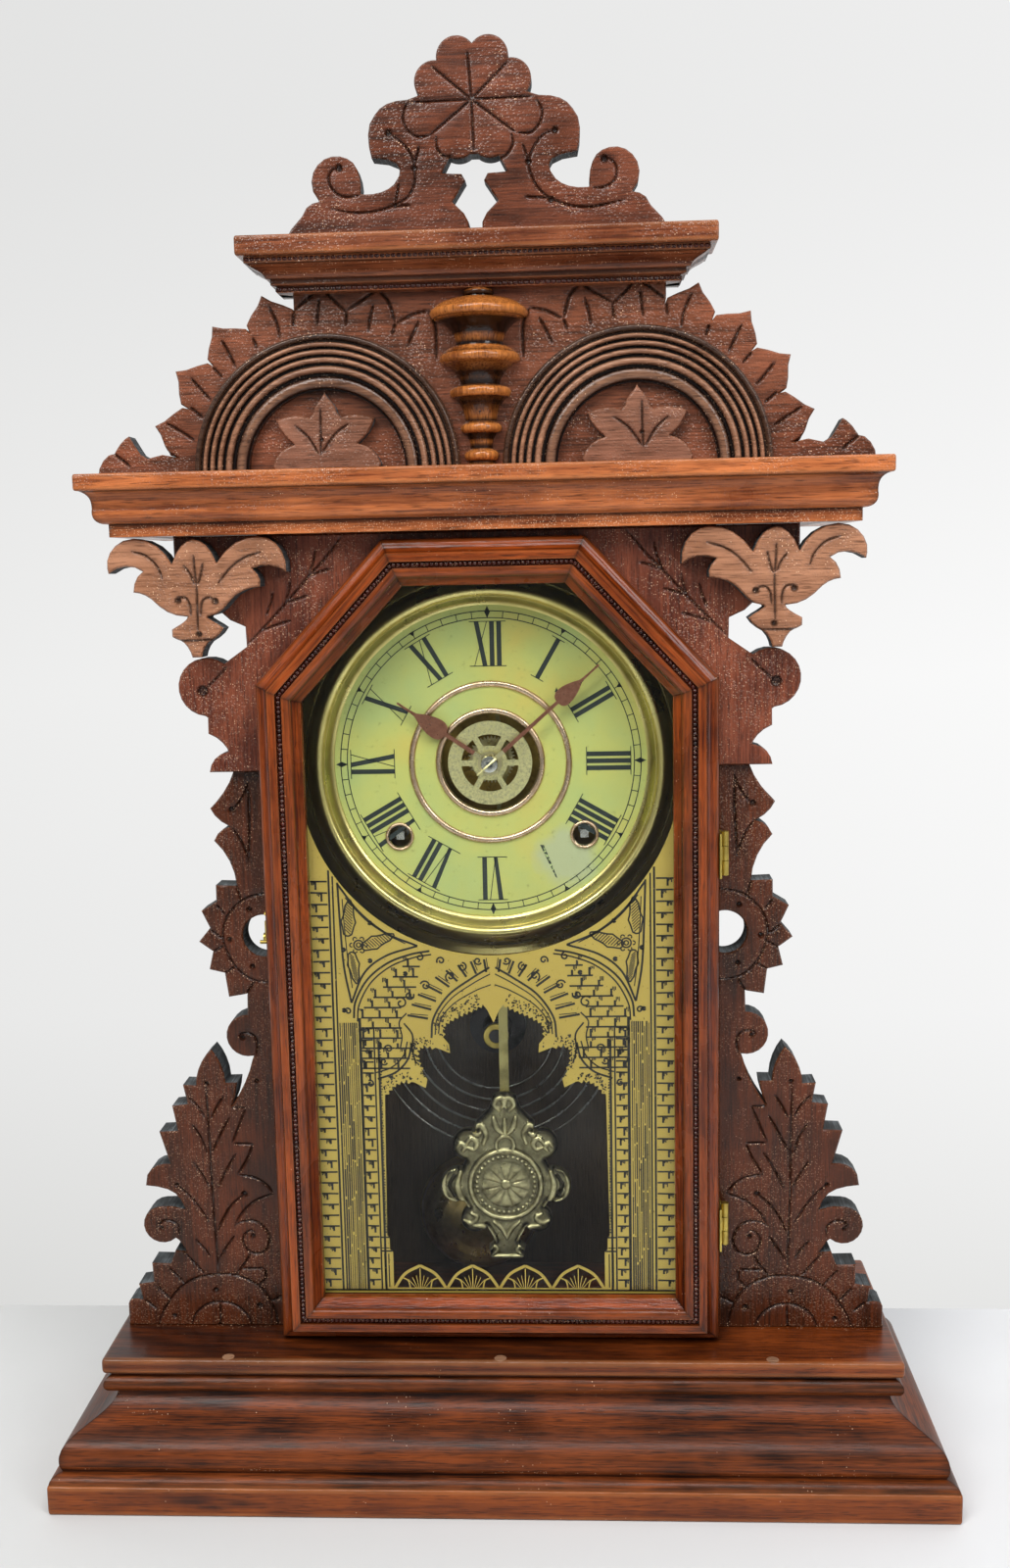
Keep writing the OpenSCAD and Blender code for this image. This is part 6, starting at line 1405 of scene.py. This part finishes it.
# a row of small gilt arches with rays along the foot of the opening
bars = []
for x0, x1 in zip((-45.2, -22.6, 0.0, 22.6), (-22.6, 0.0, 22.6, 45.2)):
    xm = (x0 + x1)/2
    bars += [(smoothLine([(x0, 79.6), (xm - 6.6, 86.4), (xm, 90.2)]), 1.25),
             (smoothLine([(x1, 79.6), (xm + 6.6, 86.4), (xm, 90.2)]), 1.25),
             ([(xm, 80), (xm, 88.8)], 0.45), (smoothLine([(xm - 7.4, 84.6), (xm - 5.2, 83.4), (xm - 4.4, 80)]), 0.6),
             (smoothLine([(xm + 7.4, 84.6), (xm + 5.2, 83.4), (xm + 4.4, 80)]), 0.6)]
    bars += [([(xm + 0.6*k, 80), (xm + 1.7*k, 80 + 6.6 - 0.9*abs(k))], 0.3) for k in (-3, -2, -1, 1, 2, 3)]
inkPlates("giltFootArches", [strokeOutline(line, width) for line, width in bars], gilt["back"], 0.09, giltLeaf, "door",
          "door_glass")
print("glass gilded")

# ---- pressed pendulum bob, with scrolls, beads and a rosette

bob = dict(x=2.76, z=122.65, front=2.3, back=7.3, ring=15.4, drop=-3.6)
bobRidges = [
    ([(-2.2, 30.0), (-4.4, 33.0), (-2.4, 36.0), (0.4, 34.6), (-0.8, 31.6)], 1.0),
    ([(-4.8, 27), (-3.6, 22.4), (-1.2, 19.6)], 1.1),
    ([(-9.4, 15.0), (-8.2, 19.6), (-10.6, 23.4), (-13.4, 22.0), (-12.4, 19.0), (-10.6, 20.0)], 1.1),
    ([(-17.2, 15.0), (-14.6, 17.6), (-12.2, 15.4), (-13.6, 12.6), (-16.0, 13.4)], 1.0),
    ([(-21.0, 13.6), (-19.2, 15.2), (-17.4, 13.6), (-18.6, 11.8)], 0.9),
    ([(-22.4, 3.8), (-26.4, 2.2), (-27.6, -4.0), (-26.2, -9.8), (-21.8, -11.6)], 1.3),
    ([(-19.6, 2.8), (-21.2, -3.8), (-19.6, -9.6), (-16.6, -13.6)], 1.2),
    ([(-18.6, -19.8), (-15.6, -21.4), (-13.0, -18.6), (-15.4, -16.8)], 1.0),
    ([(-14.6, -22.4), (-9.6, -23.4), (-6.4, -26.4), (-5.0, -29.6)], 1.1),
    ([(-8.0, -33.6), (-6.0, -31.8), (-4.4, -33.6), (-6.2, -35.6)], 0.9), ([(-7.4, -36.6), (7.4, -36.6)], 0.9),
    ([(-5.6, -20.6), (-2.0, -24.0), (0, -28.4)], 0.9),
    ([(0, 19.4), (0, 26.4)], 0.9)]


def bobRelief(x, z, inner):
    px, pz = x - bob["x"], z - bob["z"]
    height = np.clip(inner/2.2, 0, 1)*0.9
    for points, wide in bobRidges:
        for side in (1, -1):
            near, share = alongStroke([(side*a, b) for a, b in points], px, pz)
            w = wide*(0.75 + 0.5*np.sin(math.pi*share))
            height = np.maximum(height, np.where(near < w, 0.7 + 1.15*halfRound(near, w), 0))
    radius, angle = np.hypot(px, pz - bob["drop"]), np.arctan2(pz - bob["drop"], px)
    disc = radius < bob["ring"] + 1.6
    # the medallion: a raised ring, a ring of beads, and a rosette of twelve petals round a boss
    rim = np.where(np.abs(radius - bob["ring"]) < 1.1, 0.9 + 1.1*halfRound(radius - bob["ring"], 1.1), 0)
    field = 0.7 + 0.25*np.cos(radius/bob["ring"]*1.4)
    beads = np.clip(1 - np.hypot((radius - 12.7)/0.75, (np.mod(angle*36/(2*math.pi), 1) - 0.5)*2.2/0.8), 0, 1)*0.9
    petal = np.abs(np.cos(6*angle))
    rosette = np.where((radius > 2.2) & (radius < 10.4),
                       0.75*petal**0.6*np.sin(np.clip((radius - 2.2)/8.2, 0, 1)*math.pi)**0.5, 0)
    boss = np.where(radius < 2.2, 0.9*halfRound(radius, 2.2), 0)
    height = np.where(disc, np.maximum(rim, field + np.maximum(np.maximum(beads, rosette), boss)), height)
    shell = np.hypot(px, pz - 14.6)
    cup = np.maximum(0.8 + 1.0*halfRound(shell - 3.9, 0.9), 1.1 - 0.04*shell**2)
    height = np.where(shell < 4.6, np.maximum(height, cup), height)
    # slots between the side scrolls and the medallion, sunk and painted near black: painted shade
    slots = np.min([alongStroke([(side*a, b) for a, b in ((22.6, 0.6), (24.6, -3.8), (22.6, -8.6))], px, pz)[0]
                    for side in (1, -1)], axis=0)
    height = np.where(slots < 0.8, -0.6, height)
    # the lower the relief, the darker it is painted: painted shade in the low places
    return height - 0.9, np.clip(1.3 - height*0.8, 0, 0.95)


bobLoops = [max(boardOutlines("pendulum_bob", plane=bob["front"])[0], key=lambda loop: np.ptp(loop[:, 0]))]
carvedBoard("pendulumBob", "pendulum_bob", material=metals["pewterGilt"], slot="pendulum_brass", body="pendulum",
            step=0.42,
            edge=1.0, relief=bobRelief, outline=(bobLoops, bob["front"], bob["back"]), sides=metals["pewterGilt"])

# ---- coil gong: a round wire wound evenly outwards from its boss

gong = dict(x=-2.0, z=175.8, y=43.1, front=37.1, inner=24.0, outer=57.0, turns=6, wire=0.5, boss=6.5)
t = np.linspace(0, 1, gong["turns"]*64 + 1)
angle = math.pi/2 - 2*math.pi*gong["turns"]*t
reach = gong["inner"] + (gong["outer"] - gong["inner"])*t
coil = np.column_stack([gong["x"] + reach*np.cos(angle), gong["z"] + reach*np.sin(angle)])
lead = smoothLine([(gong["x"], gong["z"] + gong["boss"] - 0.4), (gong["x"], gong["z"] + 12),
                   (gong["x"] + 0.4, gong["z"] + 19),
                   (gong["x"] + 3.2, gong["z"] + 23.6), tuple(coil[6])], 1.5)
coil = np.concatenate([lead[:-1], coil[6:]])
along = np.gradient(coil, axis=0)
along = along/np.linalg.norm(along, axis=1)[:, None]
turn = np.radians(np.linspace(0, 360, 13)[:-1])
grid = np.stack([coil[:, :1] - along[:, 1:]*gong["wire"]*np.cos(turn),
                 gong["y"] + gong["wire"]*np.sin(turn) + 0*coil[:, :1],
                 coil[:, 1:] + along[:, :1]*gong["wire"]*np.cos(turn)], axis=-1)
buildSolids("gongCoil", [gridSolid(grid)], metals["gongSteel"], "case", "gong_steel", ["gong_wire"])
# brass washer on the boss
washer = ((3.05, 0), (3.05, 1.0), (3.3, 1.3), (5.5, 1.3), (5.8, 1.0), (5.8, 0))
buildSolids("gongWasher", [gridSolid(carriedRound(washer, (gong["x"], gong["front"], gong["z"]), fullTurn(48)),
                                     ring=True)],
            metals["agedBrass"], "case", "gong_iron")
print("bob and gong made")

# ---- camera, floor, backdrop and lamps

view = dict(place=(0.03678, -0.64942, 0.38511), yaw=-3.085, pitch=8.534, roll=1.221, focal=1600, centre=(505.5, 820.5),
            image=(1031, 1600), sensor=36.0)


# the matrix of a place and the directions of the three axes there
def placedAt(place, right, up, back):
    return Matrix([[*row] for row in zip(right, up, back, place)] + [[0, 0, 0, 1]])


# looks along yaw to the right and pitch down, then rolls; the long side of the image takes the whole sensor
def placeCamera():
    yaw, pitch, roll = (math.radians(view[k]) for k in ("yaw", "pitch", "roll"))
    ahead = np.array([math.sin(yaw)*math.cos(pitch), math.cos(yaw)*math.cos(pitch), -math.sin(pitch)])
    right = np.array([math.cos(yaw), -math.sin(yaw), 0])
    down = np.cross(ahead, right)
    across = math.cos(roll)*right + math.sin(roll)*down
    below = -math.sin(roll)*right + math.cos(roll)*down
    data = bpy.data.cameras.new("photoCamera")
    width, height = view["image"]
    data.sensor_width = view["sensor"]
    data.lens = view["focal"]*view["sensor"]/height
    data.shift_x = (width/2 - view["centre"][0])/height
    data.shift_y = (view["centre"][1] - height/2)/height
    camera = newObject("photoCamera", data)
    camera.matrix_world = placedAt(view["place"], across, -below, -ahead)
    bpy.context.scene.camera = camera


placeCamera()

# each card goes from its left to its right colour between x = -0.5 m and 0.5 m, as the photo's paper does: the
# darker left is painted shade
stage = dict(floor=("#c4c5c4", "#dcdde0"), wall=("#e8e8e7", "#ffffff"), wallY=0.128, halfWidth=3.2, front=-3.0,
             height=2.6)


def paperMaterial(name, colours, shownFlat):
    material, tree, place = newMaterial(name)
    across = addNode(tree, "ShaderNodeSeparateXYZ", {"Vector": place})
    cloud = addNode(tree, "ShaderNodeTexNoise", {"Vector": place, "Scale": 5.0, "Detail": 2.0})
    shifted = addNode(tree, "ShaderNodeMath", {0: cloud, 1: 0.1, 2: across}, operation="MULTIPLY_ADD")
    share = addNode(tree, "ShaderNodeMapRange", {"Value": shifted, "From Min": -0.45, "From Max": 0.55})
    tone = layered(tree, linear(colours[0]), ((share, colours[1]),))
    paper = addNode(tree, "ShaderNodeBsdfPrincipled", {"Base Color": tone, "Roughness": 0.8})
    if not shownFlat:
        return finishMaterial(material, paper)
    # the wall is a little darker near the floor and at the top: painted shade
    rise = addNode(tree, "ShaderNodeValToRGB", {"Fac": across.outputs["Z"]},
                   stops=((0.0, "#ebebea"), (0.16, "#fafafa"), (0.33, "#ffffff"), (0.58, "#f3f3f3")))
    tone = addNode(tree, "ShaderNodeMix", {"Factor": 1.0, 6: tone, 7: rise}, data_type="RGBA", blend_type="MULTIPLY")
    # eyes and reflections see its own even light, and lamps light it as paper
    ray = addNode(tree, "ShaderNodeLightPath").outputs
    seen = addNode(tree, "ShaderNodeMath", {0: ray["Is Camera Ray"], 1: ray["Is Glossy Ray"]}, operation="MAXIMUM")
    seen = addNode(tree, "ShaderNodeMath", {0: seen, 1: ray["Is Transmission Ray"]}, operation="MAXIMUM")
    glow = addNode(tree, "ShaderNodeEmission", {"Color": tone, "Strength": 1.0})
    wall = addNode(tree, "ShaderNodeMixShader", {0: seen, 1: paper, 2: glow})
    # the wall shows only its front, so that the clock can be seen from behind
    behind = addNode(tree, "ShaderNodeNewGeometry").outputs["Backfacing"]
    return finishMaterial(material, addNode(tree, "ShaderNodeMixShader", {
        0: behind, 1: wall, 2: addNode(tree, "ShaderNodeBsdfTransparent")}))


def stageSheet(name, corners, material):
    mesh = bpy.data.meshes.new(name)
    mesh.from_pydata(corners, [], [(0, 1, 2, 3)])
    mesh.materials.append(material)
    newObject(name, mesh)


w, y0, y1, top = stage["halfWidth"], stage["front"], stage["wallY"], stage["height"]
stageSheet("floor", [(-w, y0, 0), (w, y0, 0), (w, -y0, 0), (-w, -y0, 0)],
           paperMaterial("paleFloorCard", stage["floor"], False))
stageSheet("backdrop", [(-w, y1, 0), (w, y1, 0), (w, y1, top), (-w, y1, top)],
           paperMaterial("paleWall", stage["wall"], True))

lamps = [dict(name="softboxLeft", place=(-0.7, -1.2, 1.3), aim=(0, 0, 0.4), size=(0.7, 0.6), power=15,
              colour="#fffdf9"),
         dict(name="softboxRight", place=(1.0, -1.1, 1.05), aim=(0, 0, 0.35), size=(0.6, 0.7), power=10,
              colour="#ffffff"),
         dict(name="topLight", place=(0.05, -0.62, 1.25), aim=(0, 0, 0.45), size=(0.9, 0.4), power=9, colour="#ffffff")]
for lamp in lamps:
    data = bpy.data.lights.new(lamp["name"], "AREA")
    data.shape = "RECTANGLE"
    data.size, data.size_y = lamp["size"]
    data.energy = lamp["power"]
    data.color = linear(lamp["colour"])[:3]
    light = newObject(lamp["name"], data)
    away = np.array(lamp["place"]) - np.array(lamp["aim"])
    away = away/np.linalg.norm(away)
    side = np.cross([0, 0, 1], away)
    side = side/np.linalg.norm(side)
    upward = np.cross(away, side)
    light.matrix_world = placedAt(lamp["place"], side, upward, away)

world = bpy.data.worlds.new("studio")
bpy.context.scene.world = world
world.use_nodes = True
world.node_tree.nodes["Background"].inputs["Color"].default_value = linear("#f2f4f6")
world.node_tree.nodes["Background"].inputs["Strength"].default_value = 0.3
bpy.context.scene.view_settings.view_transform = "Standard"
print("camera, floor and lamps placed")

# ---- finishes of the CAD nodes that stay

stayFinish = (
    (woods["innerWalnut"], "case_sides case_top base_back_rail dial_rails glass_strips"),
    (woods["backPine"], "back_board"),
    (metals["agedBrass"], "hinge_case_leaves hinge_door_leaves hinge_pins door_catch catch_screw catch_pin"),
    (dialPaint, "dial_pan"),
    (metals["copperedHands"], "hour_hand minute_hand"),
    (metals["discBrass"], "alarm_disc"),
    (metals["movementBrass"], "front_plate back_plate suspension_post time_great_wheel time_second_wheel third_wheel"
                              " escape_wheel minute_wheel strike_great_wheel strike_second_wheel"),
    (metals["bluedSteel"], "plate_pillars time_mainspring center_arbor verge strike_mainspring strike_hammer"),
    (metals["brightSteel"], "time_winding_arbor strike_winding_arbor"),
    (metals["rodBrass"], "pendulum_rod"),
    (metals["gongIron"], "gong_base"),
    (metals["bellBronze"], "alarm_bell"),
    (windowGlass, "door_glass"),
)
for finish, nodeNames in stayFinish:
    for nodeName in nodeNames.split():
        cadNodes[nodeName].data.materials.clear()
        cadNodes[nodeName].data.materials.append(finish)
